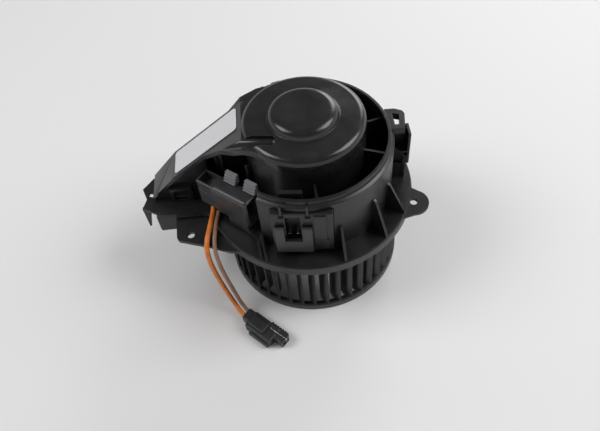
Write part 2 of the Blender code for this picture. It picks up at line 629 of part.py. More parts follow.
def make_armature():
    """Slotted lamination stack, windings through its slots, and the commutator."""
    slot_centre = STACK_RADIUS - SLOT_DEPTH
    stack = ring("stack", STACK_RADIUS, SHAFT_HOLE, STACK_BOTTOM, STACK_TOP, 40)
    pocket = rod("slot_pocket", SLOT_RADIUS, STACK_BOTTOM - CUT_MARGIN, STACK_TOP + CUT_MARGIN, 10)
    pocket.data.transform(Matrix.Translation((slot_centre, 0.0, 0.0)))
    mouth = block("slot_mouth", (slot_centre, -SLOT_MOUTH / 2, STACK_BOTTOM - CUT_MARGIN),
                  (STACK_RADIUS + CUT_MARGIN, SLOT_MOUTH / 2, STACK_TOP + CUT_MARGIN))
    cut(stack, ring_of(pocket, SLOT_COUNT), ring_of(mouth, SLOT_COUNT))
    make_part("armature_stack", stack, LAMINATION_STEEL)
    turn_inner = SHAFT_HOLE + 3.0 * MM
    turn_outer = slot_centre + SLOT_RADIUS - FIT
    edge = 1.8 * MM
    ends = []
    for name, low in (("upper_turns", STACK_TOP + FIT), ("lower_turns",
                                                         STACK_BOTTOM - FIT - END_TURN_HEIGHT)):
        high = low + END_TURN_HEIGHT
        ends.append(turned(name, (
            (turn_outer - edge, high), (turn_outer, high - edge), (turn_outer,
                                                                   low + edge), (turn_outer - edge, low),
            (turn_inner + edge, low), (turn_inner, low + edge), (turn_inner, high - edge),
            (turn_inner + edge, high)), 30))
    bundle = rod("slot_bundle", SLOT_RADIUS - 2 * FIT, STACK_BOTTOM - FIT - END_TURN_HEIGHT / 2,
                 STACK_TOP + FIT + END_TURN_HEIGHT / 2, 8)
    bundle.data.transform(Matrix.Translation((slot_centre, 0.0, 0.0)))
    bundles = ring_of(bundle, SLOT_COUNT)
    make_part("armature_windings", add(ends[0], bundles, ends[1]), WINDING_COPPER)
    riser = 1.6 * MM
    commutator = turned("commutator_blank", (
        (COMMUTATOR_RADIUS, COMMUTATOR_TOP), (COMMUTATOR_RADIUS, COMMUTATOR_BOTTOM + riser),
        (COMMUTATOR_RADIUS + riser, COMMUTATOR_BOTTOM + riser), (COMMUTATOR_RADIUS + riser,
                                                                 COMMUTATOR_BOTTOM),
        (SHAFT_HOLE, COMMUTATOR_BOTTOM), (SHAFT_HOLE, COMMUTATOR_TOP)), 40)
    groove = block("bar_groove", (COMMUTATOR_RADIUS - 0.8 * MM, -0.35 * MM, COMMUTATOR_BOTTOM - CUT_MARGIN),
                   (COMMUTATOR_RADIUS + CUT_MARGIN, 0.35 * MM, COMMUTATOR_TOP + CUT_MARGIN))
    cut(commutator, ring_of(groove, COMMUTATOR_BARS))
    make_part("commutator", commutator, COPPER)


# Brush gear: card, two tubes with a carbon brush and a coil spring each, chokes and capacitor
def helix_spring(name, start, end):
    """Closed-end coil spring along X as a wire on a POLY path."""
    curve = bpy.data.curves.new(name, "CURVE")
    curve.dimensions = "3D"
    curve.bevel_depth = SPRING_WIRE
    curve.bevel_resolution = 1
    curve.use_fill_caps = True
    spline = curve.splines.new("POLY")
    per_turn = 8
    count = SPRING_TURNS * per_turn
    spline.points.add(count)
    for index, point in enumerate(spline.points):
        angle = math.tau * index / per_turn
        along = start + (end - start) * index / count
        point.co = (along, SPRING_RADIUS * math.cos(angle), SPRING_RADIUS * math.sin(angle), 1.0)
    made = bpy.data.objects.new(name, curve)
    CUTTERS.objects.link(made)
    bpy.context.view_layer.update()
    return curve_to_blank(made)


def make_brush_gear():
    """The card below the end bell and what it carries."""
    card = ring("card", CAN_BORE - FIT, CARD_HOLE_RADIUS, CARD_BOTTOM, CARD_TOP, 44)
    vent = flat("card_vent", (arc(31.0 * MM, 32.0, 58.0, 5) + arc(20.0 * MM, 58.0, 32.0, 5),),
                CARD_BOTTOM - CUT_MARGIN, CARD_TOP + CUT_MARGIN)
    make_part("brush_card", cut(card, ring_of(vent, 4)), CARD_BROWN)
    half_width = BRUSH_WIDTH / 2 + FIT
    half_height = BRUSH_HEIGHT / 2 + FIT
    wall = BRUSH_TUBE_WALL
    tube_end = BRUSH_TUBE_START + BRUSH_TUBE_LENGTH
    middle = BRUSH_MIDDLE
    brush_start = COMMUTATOR_RADIUS + FIT
    brush_end = brush_start + BRUSH_LENGTH
    for side, turn in (("right", 0.0), ("left", 180.0)):
        tube = block("tube", (BRUSH_TUBE_START, -half_width - wall, middle - half_height - wall),
                     (tube_end, half_width + wall, middle + half_height + wall))
        hollow = block("tube_hollow", (BRUSH_TUBE_START - CUT_MARGIN, -half_width, middle - half_height),
                       (tube_end - wall, half_width, middle + half_height))
        tab = block("tube_tab", (BRUSH_TUBE_START + 4.0 * MM, -half_width - wall, middle + half_height),
                    (tube_end - 4.0 * MM, -half_width + wall, CARD_BOTTOM - FIT))
        second_tab = block("tube_tab", (BRUSH_TUBE_START + 4.0 * MM, half_width - wall,
                                        middle + half_height),
                           (tube_end - 4.0 * MM, half_width + wall, CARD_BOTTOM - FIT))
        slot = block("pigtail_slot", (brush_end - 3.0 * MM, -0.9 * MM, middle),
                     (tube_end - 3.0 * MM, 0.9 * MM,
                     middle + half_height + CUT_MARGIN))
        add(tube, tab, second_tab)
        cut(tube, hollow, slot)
        make_part("brush_tube_" + side, placed(tube, turn=turn), BRASS)
        brush = block("brush", (brush_start, -BRUSH_WIDTH / 2, middle - BRUSH_HEIGHT / 2),
                      (brush_end, BRUSH_WIDTH / 2, middle + BRUSH_HEIGHT / 2))
        face = rod("brush_face", COMMUTATOR_RADIUS + FIT, middle - BRUSH_HEIGHT, middle + BRUSH_HEIGHT, 40)
        cut(brush, face)
        make_part("carbon_brush_" + side, placed(brush, turn=turn), CARBON)
        spring = helix_spring("spring_" + side, brush_end + FIT + SPRING_WIRE,
                              tube_end - wall - FIT - SPRING_WIRE)
        spring.data.transform(Matrix.Translation((0.0, 0.0, middle)))
        make_part("brush_spring_" + side, put(spring, turn=turn), SPRING_STEEL)
    below = CARD_BOTTOM - FIT
    for side, y in (("rear", 22.0 * MM), ("front", -22.0 * MM)):
        choke = turned("choke", (
            (0.0, CHOKE_LENGTH / 2), (CHOKE_RADIUS - 1.0 * MM, CHOKE_LENGTH / 2),
            (CHOKE_RADIUS - 1.0 * MM, CHOKE_LENGTH / 2 - 1.5 * MM), (CHOKE_RADIUS,
                                                                     CHOKE_LENGTH / 2 - 1.5 * MM),
            (CHOKE_RADIUS, 1.5 * MM - CHOKE_LENGTH / 2), (CHOKE_RADIUS - 1.0 * MM,
                                                          1.5 * MM - CHOKE_LENGTH / 2),
            (CHOKE_RADIUS - 1.0 * MM, -CHOKE_LENGTH / 2), (0.0, -CHOKE_LENGTH / 2)), 16)
        choke.rotation_euler = (0.0, math.radians(90.0), 0.0)
        choke.location = (0.0, y, below - CHOKE_RADIUS)
        make_part("choke_" + side, choke, WINDING_COPPER)
    capacitor = block("capacitor_blank", (-4.0 * MM, 27.0 * MM, below - 7.0 * MM),
                      (4.0 * MM, 30.0 * MM, below),
                      1.0 * MM)
    make_part("suppressor_capacitor", capacitor, CAPACITOR_FILM)


def make_dampers():
    """Rubber rings that hang the motor in the cup."""
    low = CUP_FLOOR + FIT
    high = low + LOWER_DAMPER_THICKNESS
    lower = turned("lower_damper", (
        (LOWER_DAMPER_RADIUS, high - 0.6 * MM), (LOWER_DAMPER_RADIUS, low), (BOSS_RADIUS + FIT, low),
        (BOSS_RADIUS + FIT, high), (LOWER_DAMPER_RADIUS - 0.6 * MM, high)), 40)
    make_part("damper_ring_lower", lower, DAMPER_RUBBER)
    top = CAN_TOP - 3.0 * MM
    bottom = top - UPPER_DAMPER_HEIGHT
    groove = UPPER_DAMPER_HEIGHT / 3
    outer = CUP_BORE - FIT
    upper = turned("upper_damper", (
        (outer, top), (outer, top - groove), (outer - 1.5 * MM, top - groove), (outer - 1.5 * MM,
                                                                                bottom + groove),
        (outer, bottom + groove), (outer, bottom), (CAN_RADIUS + FIT, bottom), (CAN_RADIUS + FIT, top)), 44)
    notch = block("damper_notch", (CAN_RADIUS + 2.2 * MM, -UPPER_DAMPER_NOTCH_WIDTH / 2,
                                   bottom - CUT_MARGIN),
                  (outer + CUT_MARGIN, UPPER_DAMPER_NOTCH_WIDTH / 2, top + CUT_MARGIN))
    cut(upper, ring_of(notch, UPPER_DAMPER_NOTCHES))
    make_part("damper_ring_upper", upper, DAMPER_RUBBER)


# Motor holder: one moulding with flange, ring wall, cup, ribs, duct trough, ears and hooks
def arm_line(drop=0.0):
    """Top line of the duct arm from the cap to its tip, lowered by drop."""
    return [(-ARM_BEND, ARM_BEND_HEIGHT - drop), (-ARM_SLOPE_END, ARM_SLOPE_HEIGHT - drop),
            (-ARM_TIP, ARM_TIP_HEIGHT - drop)]


def shell_block(name, length, depth, bottom, top, along=0.0, out=0.0):
    """A box in the frame of the supply connector: length along it, depth outward from the axis."""
    made = block(name, (along - length / 2, out - depth / 2, bottom),
                 (along + length / 2, out + depth / 2, top))
    return put(made, SHELL_CENTRE[0], SHELL_CENTRE[1], 0.0, SHELL_ANGLE)


def regulator_block(name, left, right, back, front, bottom, top, round_edges=0.0):
    """A box in the frame of the regulator: left to right seen from outside, back to front outward."""
    made = block(name, (left, -front, bottom), (right, -back, top), round_edges)
    return put(made, turn=REGULATOR_ANGLE + 90.0)


def holder_bodies():
    """Solids that are joined before the holder is hollowed."""
    bodies = [turned("cup_outside", (
        (0.0, CUP_TOP), (CUP_RADIUS, CUP_TOP), (CUP_RADIUS, CUP_BOTTOM + CUP_CORNER),
        (CUP_RADIUS - CUP_CORNER, CUP_BOTTOM), (0.0, CUP_BOTTOM)), CUP_SEGMENTS)]
    collar = RING_TOP - RING_LIP_HEIGHT
    bodies.append(turned("ring_wall", (
        (RING_LIP_RADIUS - 0.6 * MM, RING_TOP), (RING_LIP_RADIUS, RING_TOP - 0.6 * MM),
        (RING_LIP_RADIUS, collar + 0.8 * MM), (RING_COLLAR_RADIUS - 0.6 * MM, collar),
        (RING_COLLAR_RADIUS, collar - 0.6 * MM), (RING_COLLAR_RADIUS, FLANGE_BOTTOM + OVERLAP),
        (RING_COLLAR_RADIUS - RING_WALL, FLANGE_BOTTOM + OVERLAP),
        (RING_COLLAR_RADIUS - RING_WALL, collar - 1.0 * MM), (RING_LIP_RADIUS - RING_WALL,
                                                              collar + 1.6 * MM),
        (RING_LIP_RADIUS - RING_WALL, RING_TOP)), RING_SEGMENTS))
    for angle in RIB_ANGLES:
        rib = block("channel_rib", (CUP_RADIUS - OVERLAP, -RIB_THICKNESS / 2, FLANGE_BOTTOM + OVERLAP),
                    (RING_COLLAR_RADIUS - RING_WALL + OVERLAP, RIB_THICKNESS / 2, RING_TOP - RIB_TOP_DROP))
        bodies.append(put(rib, turn=angle))
    for (wall_angle, rim_angle), height in zip(GUSSET_WALL_AND_RIM_ANGLES, GUSSET_HEIGHTS):
        start = (RING_COLLAR_RADIUS - 1.4 * MM) * Vector((math.cos(math.radians(wall_angle)),
                                                          math.sin(math.radians(wall_angle))))
        end = (FLANGE_RADIUS - 1.2 * MM) * Vector((math.cos(math.radians(rim_angle)),
                                                   math.sin(math.radians(rim_angle))))
        run = (end - start).length
        peak = FLANGE_TOP + height * MM
        gusset = side_flat("gusset", (
            (0.0, FLANGE_TOP - OVERLAP), (run, FLANGE_TOP - OVERLAP), (run, FLANGE_TOP + 1.2 * MM),
            (3.5 * MM, peak - 2.0 * MM), (0.0, peak)), -GUSSET_THICKNESS / 2, GUSSET_THICKNESS / 2)
        heading = math.degrees(math.atan2(end.y - start.y, end.x - start.x))
        bodies.append(put(gusset, start.x, start.y, 0.0, heading))
    boss = rod("wall_boss", 3.6 * MM, 66.0 * MM, RING_COLLAR_RADIUS + 2.4 * MM, 16)
    boss.data.transform(Matrix.Rotation(math.radians(90.0), 4, "Y"))
    bodies.append(put(boss, 0.0, 0.0, 119.0 * MM, -115.5))
    return bodies


def trough_bodies():
    """The duct trough with its mouth, the stepped fixing plate, the end lug and the hooks."""
    base = FLANGE_BOTTOM + 4 * MOULD_STEP
    side = [(-ARM_TIP + LID_LIP_WALL + FIT, base), (-CUP_RADIUS + 5.0 * MM, base)]
    top = arm_line(TROUGH_TOP_GAP)
    top[2] = (-ARM_TIP + LID_LIP_WALL + FIT, ARM_TIP_HEIGHT - TROUGH_TOP_GAP + 1.6 * MM)
    side += [(-CUP_RADIUS + 5.0 * MM, ARM_BEND_HEIGHT - TROUGH_TOP_GAP)] + top
    bodies = [side_flat("trough_outside", side, TROUGH_FRONT, TROUGH_BACK)]
    terrace_top = FLANGE_TOP
    bodies.append(block("mouth_outside", (-MOUTH_LEFT, MOUTH_FRONT, FLANGE_BOTTOM - MOUTH_DROP),
                        (-MOUTH_RIGHT, MOUTH_BACK, terrace_top - 6 * MOULD_STEP), 1.6 * MM))
    bodies.append(flat("base_plate", ((
        (-55.0 * MM, -30.0 * MM), (-96.0 * MM, -19.6 * MM), (-MOUTH_RIGHT, MOUTH_FRONT), (-MOUTH_LEFT,
                                                                                          -14.5 * MM),
        (-138.3 * MM, -7.7 * MM), (-135.6 * MM, 1.4 * MM), (-139.7 * MM, 12.9 * MM), (-131.0 * MM,
                                                                                      23.9 * MM),
        (-125.0 * MM, 27.0 * MM), (-74.0 * MM, 36.0 * MM), (-55.0 * MM, 60.0 * MM)),
        ((-134.2 * MM, 4.5 * MM), (-130.6 * MM, 3.4 * MM), (-130.0 * MM, 7.6 * MM),
         (-133.6 * MM, 8.8 * MM))),
        FLANGE_BOTTOM + 2 * MOULD_STEP, terrace_top - 2 * MOULD_STEP))
    low = FLANGE_BOTTOM - PLATE_STEP
    bodies.append(flat("fixing_plate", ((
        (-60.0 * MM, -10.0 * MM), (-111.0 * MM, -17.0 * MM), (-109.4 * MM, -40.0 * MM), (-107.6 * MM,
                                                                                         -42.4 * MM),
        (-82.7 * MM, -51.4 * MM), (-67.1 * MM, -58.2 * MM), (-58.0 * MM, -60.0 * MM)),
        circle(FIXING_HOLE_RADIUS, PLATE_HOLE)), low, low + FLANGE_THICKNESS + 0.4 * MM))
    bodies.append(block("plate_ridge", (-110.0 * MM, -21.8 * MM, low + OVERLAP),
                        (-90.0 * MM, -18.8 * MM, terrace_top + 4 * MOULD_STEP)))
    bodies.append(side_flat("end_hook", (
        (-138.6 * MM, terrace_top - OVERLAP), (-138.2 * MM, 57.0 * MM), (-136.8 * MM, 57.0 * MM),
        (-133.6 * MM, 71.0 * MM), (-131.0 * MM, terrace_top - OVERLAP)), -8.4 * MM, -5.8 * MM))
    bodies.append(block("wall_pocket", (-113.0 * MM, TROUGH_FRONT - 4.2 * MM, FLANGE_TOP - OVERLAP),
                        (-95.0 * MM, TROUGH_FRONT + OVERLAP, 96.4 * MM)))
    return bodies


def bracket_bodies():
    """Ear, latch box, loop and guide ribs on the right of the ring wall."""
    ear = ([(62.0 * MM, -8.0 * MM), (77.5 * MM, -13.5 * MM)] + arc(EAR_RADIUS, 62.0, -96.0, 10, EAR_HOLE)
           + [(67.4 * MM, -47.0 * MM), (55.0 * MM, -52.0 * MM)])
    bodies = [flat("ear", (ear[::-1], circle(FIXING_HOLE_RADIUS, EAR_HOLE)),
                   FLANGE_BOTTOM + MOULD_STEP, FLANGE_TOP - MOULD_STEP)]
    start = RING_COLLAR_RADIUS - 1.5 * MM
    bodies.append(block("latch_back_wall", (start, 9.0 * MM, 92.0 * MM),
                        (82.0 * MM, 11.0 * MM, 126.0 * MM)))
    bodies.append(block("latch_outer_wall", (80.0 * MM, -1.2 * MM, 93.0 * MM),
                        (82.1 * MM, 10.9 * MM, 125.8 * MM)))
    bodies.append(block("latch_shelf", (start + 0.1 * MM, -0.8 * MM, 105.0 * MM),
                        (81.9 * MM, 10.8 * MM, 107.0 * MM)))
    bodies.append(side_flat("latch_web", ((start + 0.2 * MM, 90.0 * MM), (80.5 * MM, 98.0 * MM),
                                          (80.5 * MM, 100.0 * MM), (start + 0.2 * MM,
                                                                    116.0 * MM)), -0.9 * MM, 1.1 * MM))
    bodies.append(block("guide_outer", (76.0 * MM, -5.0 * MM, FLANGE_TOP - OVERLAP),
                        (78.4 * MM, -2.6 * MM, 101.0 * MM)))
    bodies.append(block("guide_inner", (start, -4.6 * MM, FLANGE_TOP - 1.2 * OVERLAP),
                        (76.6 * MM, -3.0 * MM, 97.0 * MM)))
    bodies.append(block("guide_back", (start, 5.6 * MM, FLANGE_TOP - OVERLAP),
                        (79.0 * MM, 7.4 * MM, 94.0 * MM)))
    start = RING_LIP_RADIUS - 1.2 * MM
    loop = flat("harness_loop", ((
        (start, 21.0 * MM), (72.0 * MM, 20.5 * MM), (77.6 * MM, 17.5 * MM), (79.0 * MM, 14.0 * MM),
        (76.6 * MM, -1.5 * MM), (start, -1.5 * MM)),
        ((69.6 * MM, 15.6 * MM), (74.6 * MM, 13.6 * MM), (73.2 * MM, 3.0 * MM), (69.6 * MM, 3.0 * MM))),
        128.0 * MM, 134.0 * MM)
    bodies.append(loop)
    for angle in (118.0, 105.5):
        lug = block("rear_lug", (RING_LIP_RADIUS - 1.0 * MM, -4.0 * MM, RING_TOP - 7.5 * MM),
                    (RING_LIP_RADIUS + 3.6 * MM, 4.0 * MM, RING_TOP - 2.5 * MM), 0.6 * MM)
        bodies.append(put(lug, turn=angle))
    return bodies


def holder_cuts():
    """Hollows and openings of the holder."""
    cuts = [turned("cup_inside", (
        (0.0, CUP_TOP + 20.0 * MM), (CUP_BORE, CUP_TOP + 20.0 * MM), (CUP_BORE, CUP_FLOOR + 3.0 * MM),
        (CUP_BORE - 3.0 * MM, CUP_FLOOR), (0.0, CUP_FLOOR)), CUP_SEGMENTS)]
    cuts.append(rod("cup_floor_hole", CUP_FLOOR_HOLE, CUP_BOTTOM - CUT_MARGIN, CUP_FLOOR + CUT_MARGIN, 32))
    slot = block("air_slot", (AIR_SLOT_INNER, -AIR_SLOT_WIDTH / 2, CUP_BOTTOM - CUT_MARGIN),
                 (CUP_BORE - 5.0 * MM, AIR_SLOT_WIDTH / 2, CUP_FLOOR + CUT_MARGIN))
    cuts.append(ring_of(slot, AIR_SLOT_COUNT))
    inner_front = TROUGH_FRONT + TROUGH_WALL
    inner_back = TROUGH_BACK - TROUGH_WALL
    left = -ARM_TIP + LID_LIP_WALL + FIT + TROUGH_WALL
    cuts.append(side_flat("trough_inside", (
        (left, FLANGE_TOP + MOULD_STEP), (-CUP_RADIUS - 0.4 * MM,
                                          FLANGE_TOP + MOULD_STEP), (-CUP_RADIUS - 0.4 * MM,
                                                                     COVER_TOP + CUT_MARGIN),
        (left, COVER_TOP + CUT_MARGIN)), inner_front, inner_back))
    cuts.append(block("cup_window", (-CUP_RADIUS - 2.0 * MM, inner_front + 1.0 * MM,
                                     FLANGE_TOP + 14.0 * MM),
                      (-CUP_BORE + 14.0 * MM, inner_back - 1.0 * MM, COVER_TOP + CUT_MARGIN)))
    cuts.append(block("mouth_inside", (-MOUTH_LEFT + MOUTH_WALL, MOUTH_FRONT + MOUTH_WALL,
                                       FLANGE_BOTTOM - MOUTH_DROP - CUT_MARGIN),
                      (-MOUTH_RIGHT - MOUTH_WALL, MOUTH_BACK - MOUTH_WALL, FLANGE_BOTTOM + 5 * MOULD_STEP)))
    cuts.append(block("mouth_throat", (-MOUTH_LEFT + MOUTH_WALL, inner_front, FLANGE_BOTTOM - CUT_MARGIN),
                      (-MOUTH_RIGHT - MOUTH_WALL, inner_back, FLANGE_TOP + CUT_MARGIN)))
    cuts.append(ring("cap_seat", CUP_RADIUS + FIT + OVERLAP, CUP_BORE - CUT_MARGIN, CUP_TOP + MOULD_STEP,
                     COVER_TOP + CUT_MARGIN, CUP_SEGMENTS))
    cuts.append(block("pocket_hollow", (-110.4 * MM, TROUGH_FRONT - 6.0 * MM, 83.0 * MM),
                      (-98.0 * MM, TROUGH_FRONT - 0.6 * MM, 93.6 * MM), 1.5 * MM))
    cuts.append(block("lid_room", (-70.0 * MM, -14.0 * MM, RING_TOP - 3.4 * MM),
                      (-56.0 * MM, TROUGH_FRONT - MOULD_STEP, RING_TOP + CUT_MARGIN)))
    cuts.append(shell_block("shell_space", SHELL_LENGTH + SHELL_MOUTH_ROOM, SHELL_DEPTH + 15.0 * MM,
                            FLANGE_TOP + MOULD_STEP, RING_TOP + CUT_MARGIN, SHELL_MOUTH_ROOM / 2, -2.0 * MM))
    return cuts


def make_holder():
    """Join, hollow and finish the motor holder."""
    inner = CUP_RADIUS - 2.0 * MM
    holder = turned("flange", (
        (FLANGE_RADIUS - 0.8 * MM, FLANGE_TOP), (FLANGE_RADIUS, FLANGE_TOP - 0.8 * MM),
        (FLANGE_RADIUS, FLANGE_BOTTOM - SKIRT_DROP), (FLANGE_RADIUS - SKIRT_WALL,
                                                      FLANGE_BOTTOM - SKIRT_DROP),
        (FLANGE_RADIUS - SKIRT_WALL, FLANGE_BOTTOM), (inner, FLANGE_BOTTOM), (inner,
                                                                              FLANGE_TOP)), RING_SEGMENTS)
    add(holder, *holder_bodies(), *trough_bodies(), *bracket_bodies())
    cut(holder, *holder_cuts())
    half = REGULATOR_WIDTH / 2 + FIT
    low = FLANGE_TOP + REGULATOR_BASE - FIT
    window = regulator_block("regulator_window", -half, half, REGULATOR_BACK - FIT, FLANGE_RADIUS, low,
                             low + REGULATOR_HEIGHT + 2 * FIT)
    cut(holder, window)
    tongue_radius = COVER_RADIUS - COVER_WALL - FIT
    tongue = ring("cup_tongue", tongue_radius, tongue_radius - TONGUE_THICKNESS,
                  CUP_TOP - 3.0 * MM, CUP_TOP + TONGUE_HEIGHT, CUP_SEGMENTS)
    gap = block("tongue_gap", (-CUP_RADIUS - 2.0 * MM, TROUGH_FRONT + TROUGH_WALL, CUP_TOP - CUT_MARGIN),
                (-CUP_BORE + 14.0 * MM, TROUGH_BACK - TROUGH_WALL, CUP_TOP + 12.0 * MM))
    add(holder, cut(tongue, gap))
    return make_part("motor_holder", holder, HOLDER_BLACK)


# Motor cover: the cap over the cup, its dome, and the lid of the duct arm in one moulding
def make_cover():
    """Cap and lid as one shell."""
    skirt = COVER_RADIUS
    low = CUP_TOP + FIT
    shoulder = COVER_SHOULDER
    rounds = [(skirt - shoulder + shoulder * math.sin(math.radians(a)),
               COVER_TOP - shoulder + shoulder * math.cos(math.radians(a))) for a in (15, 30, 45, 60, 75,
                                                                                      90)]
    dome = [(0.0, COVER_TOP + DOME_RISE - 0.8 * MM), (12.0 * MM, COVER_TOP + DOME_RISE - 0.4 * MM),
            (DOME_RADIUS - 7.4 * MM, COVER_TOP + DOME_RISE), (DOME_RADIUS - 4.4 * MM,
                                                              COVER_TOP + DOME_RISE - 0.7 * MM),
            (DOME_RADIUS - 2.2 * MM, COVER_TOP + DOME_RISE - 2.4 * MM), (DOME_RADIUS - 1.2 * MM,
                                                                         COVER_TOP + 1.8 * MM),
            (DOME_RADIUS - 0.6 * MM, COVER_TOP + 0.5 * MM), (DOME_RADIUS + 0.8 * MM, COVER_TOP)]
    outside = dome + [(skirt - shoulder, COVER_TOP)] + rounds + [(skirt, low), (0.0, low)]
    cover = turned("cover_outside", outside, 64)
    lid_top = arm_line()
    lid_low = arm_line(LID_LIP)
    inside = -20.0 * MM
    lid_outline = [(inside, COVER_TOP - 0.5 * MM), lid_top[0], lid_top[1], lid_top[2]]
    lid_outline += [(lid_low[2][0], FLANGE_TOP + FIT), lid_low[1], lid_low[0],
                    (inside, ARM_BEND_HEIGHT - LID_LIP)]
    lid = side_flat("lid_outside", lid_outline[::-1], ARM_FRONT, ARM_FRONT + ARM_WIDTH)
    wing = flat("lid_wing", ((
        (inside, -24.0 * MM), (inside, 38.0 * MM), (-33.0 * MM, 37.0 * MM), (-45.0 * MM, 31.0 * MM),
        (-57.0 * MM, ARM_FRONT + ARM_WIDTH - 0.4 * MM), (-80.0 * MM, ARM_FRONT + 0.4 * MM), (-64.0 * MM,
                                                                                             -10.0 * MM),
        (-54.0 * MM, -20.0 * MM), (-46.0 * MM, -26.0 * MM), (-36.0 * MM, -29.5 * MM)),),
        COVER_TOP - 60.0 * MM, COVER_TOP + CUT_MARGIN)
    under = COVER_TOP - LID_LIP - 3.0 * MM
    slope_trim = side_flat("slope_trim", (
        (inside + 1.0 * MM, under), (inside + 1.0 * MM, COVER_TOP - 0.55 * MM), (lid_top[0][0],
                                                                                 lid_top[0][1] - 0.05 * MM),
        (lid_top[1][0], lid_top[1][1] - 0.05 * MM), (lid_top[1][0], lid_top[1][1] - LID_LIP),
        (lid_top[0][0], lid_top[0][1] - LID_LIP))[::-1], -40.0 * MM, 50.0 * MM)
    combine(wing, (slope_trim,), "INTERSECT")
    add(cover, lid, wing)
    wall = COVER_WALL
    inner_dome = [(0.0, COVER_TOP + DOME_RISE - wall - 0.8 * MM),
                  (DOME_RADIUS - 6.0 * MM, COVER_TOP + DOME_RISE - wall),
                  (DOME_RADIUS - 3.4 * MM, COVER_TOP + 0.4 * MM), (DOME_RADIUS, COVER_TOP - wall)]
    inner = inner_dome + [(skirt - shoulder, COVER_TOP - wall),
                          (skirt - wall - 1.4 * MM, COVER_TOP - shoulder + 1.0 * MM),
                          (skirt - wall, COVER_TOP - shoulder - 1.4 * MM), (skirt - wall, low - CUT_MARGIN),
                          (0.0, low - CUT_MARGIN)]
    hollow = turned("cover_inside", inner, 64)
    line = arm_line(wall)
    lid_inside = [(-30.0 * MM, ARM_BEND_HEIGHT - wall)] + line[:2]
    lid_inside += [(-ARM_TIP + LID_LIP_WALL, ARM_TIP_HEIGHT - wall + 1.6 * MM),
                   (-ARM_TIP + LID_LIP_WALL, 60.0 * MM),
                   (-30.0 * MM, 60.0 * MM)]
    lid_hollow = side_flat("lid_inside", lid_inside[::-1], ARM_FRONT + LID_LIP_WALL,
                           ARM_FRONT + ARM_WIDTH - LID_LIP_WALL)
    basin = block("scoop_basin", (-42.0 * MM, -27.5 * MM, COVER_TOP - SCOOP_DEPTH - COVER_WALL),
                  (-18.0 * MM, -12.5 * MM, COVER_TOP - 2.6 * MM))
    scoop = block("scoop", (-34.0 * MM, -4.6 * MM, -SCOOP_DEPTH), (12.6 * MM, 4.6 * MM, SCOOP_DEPTH),
                  3.2 * MM, 3)
    put(scoop, -34.0 * MM, -20.4 * MM, COVER_TOP, -9.0)
    corner = flat("tip_corner", ((
        (-108.0 * MM, ARM_FRONT - FIT), (-124.0 * MM, TROUGH_FRONT - FIT), (-ARM_TIP - CUT_MARGIN,
                                                                            TROUGH_FRONT - FIT),
        (-ARM_TIP - CUT_MARGIN, ARM_FRONT - CUT_MARGIN), (-108.0 * MM, ARM_FRONT - CUT_MARGIN)),),
        FLANGE_BOTTOM - CUT_MARGIN, ARM_SLOPE_HEIGHT + CUT_MARGIN)
    cut(cover, hollow, lid_hollow)
    add(cover, basin)
    cut(cover, scoop, corner)
    return make_part("motor_cover", cover, COVER_BLACK)


def make_label():
    """Plain white sticker on the sloping lid."""
    slope = math.atan2(ARM_BEND_HEIGHT - ARM_SLOPE_HEIGHT, ARM_SLOPE_END - ARM_BEND)
    start = -ARM_BEND - LABEL_INSET * math.cos(slope)
    label = block("label", (-LABEL_LENGTH, -LABEL_WIDTH / 2, FIT),
                  (0.0, LABEL_WIDTH / 2, FIT + LABEL_THICKNESS))
    label.rotation_euler = (0.0, -slope, 0.0)
    label.location = (start, ARM_FRONT + ARM_WIDTH / 2 - 0.6 * MM,
                      ARM_BEND_HEIGHT - LABEL_INSET * math.sin(slope))
    return make_part("duct_label", label, STICKER_WHITE)


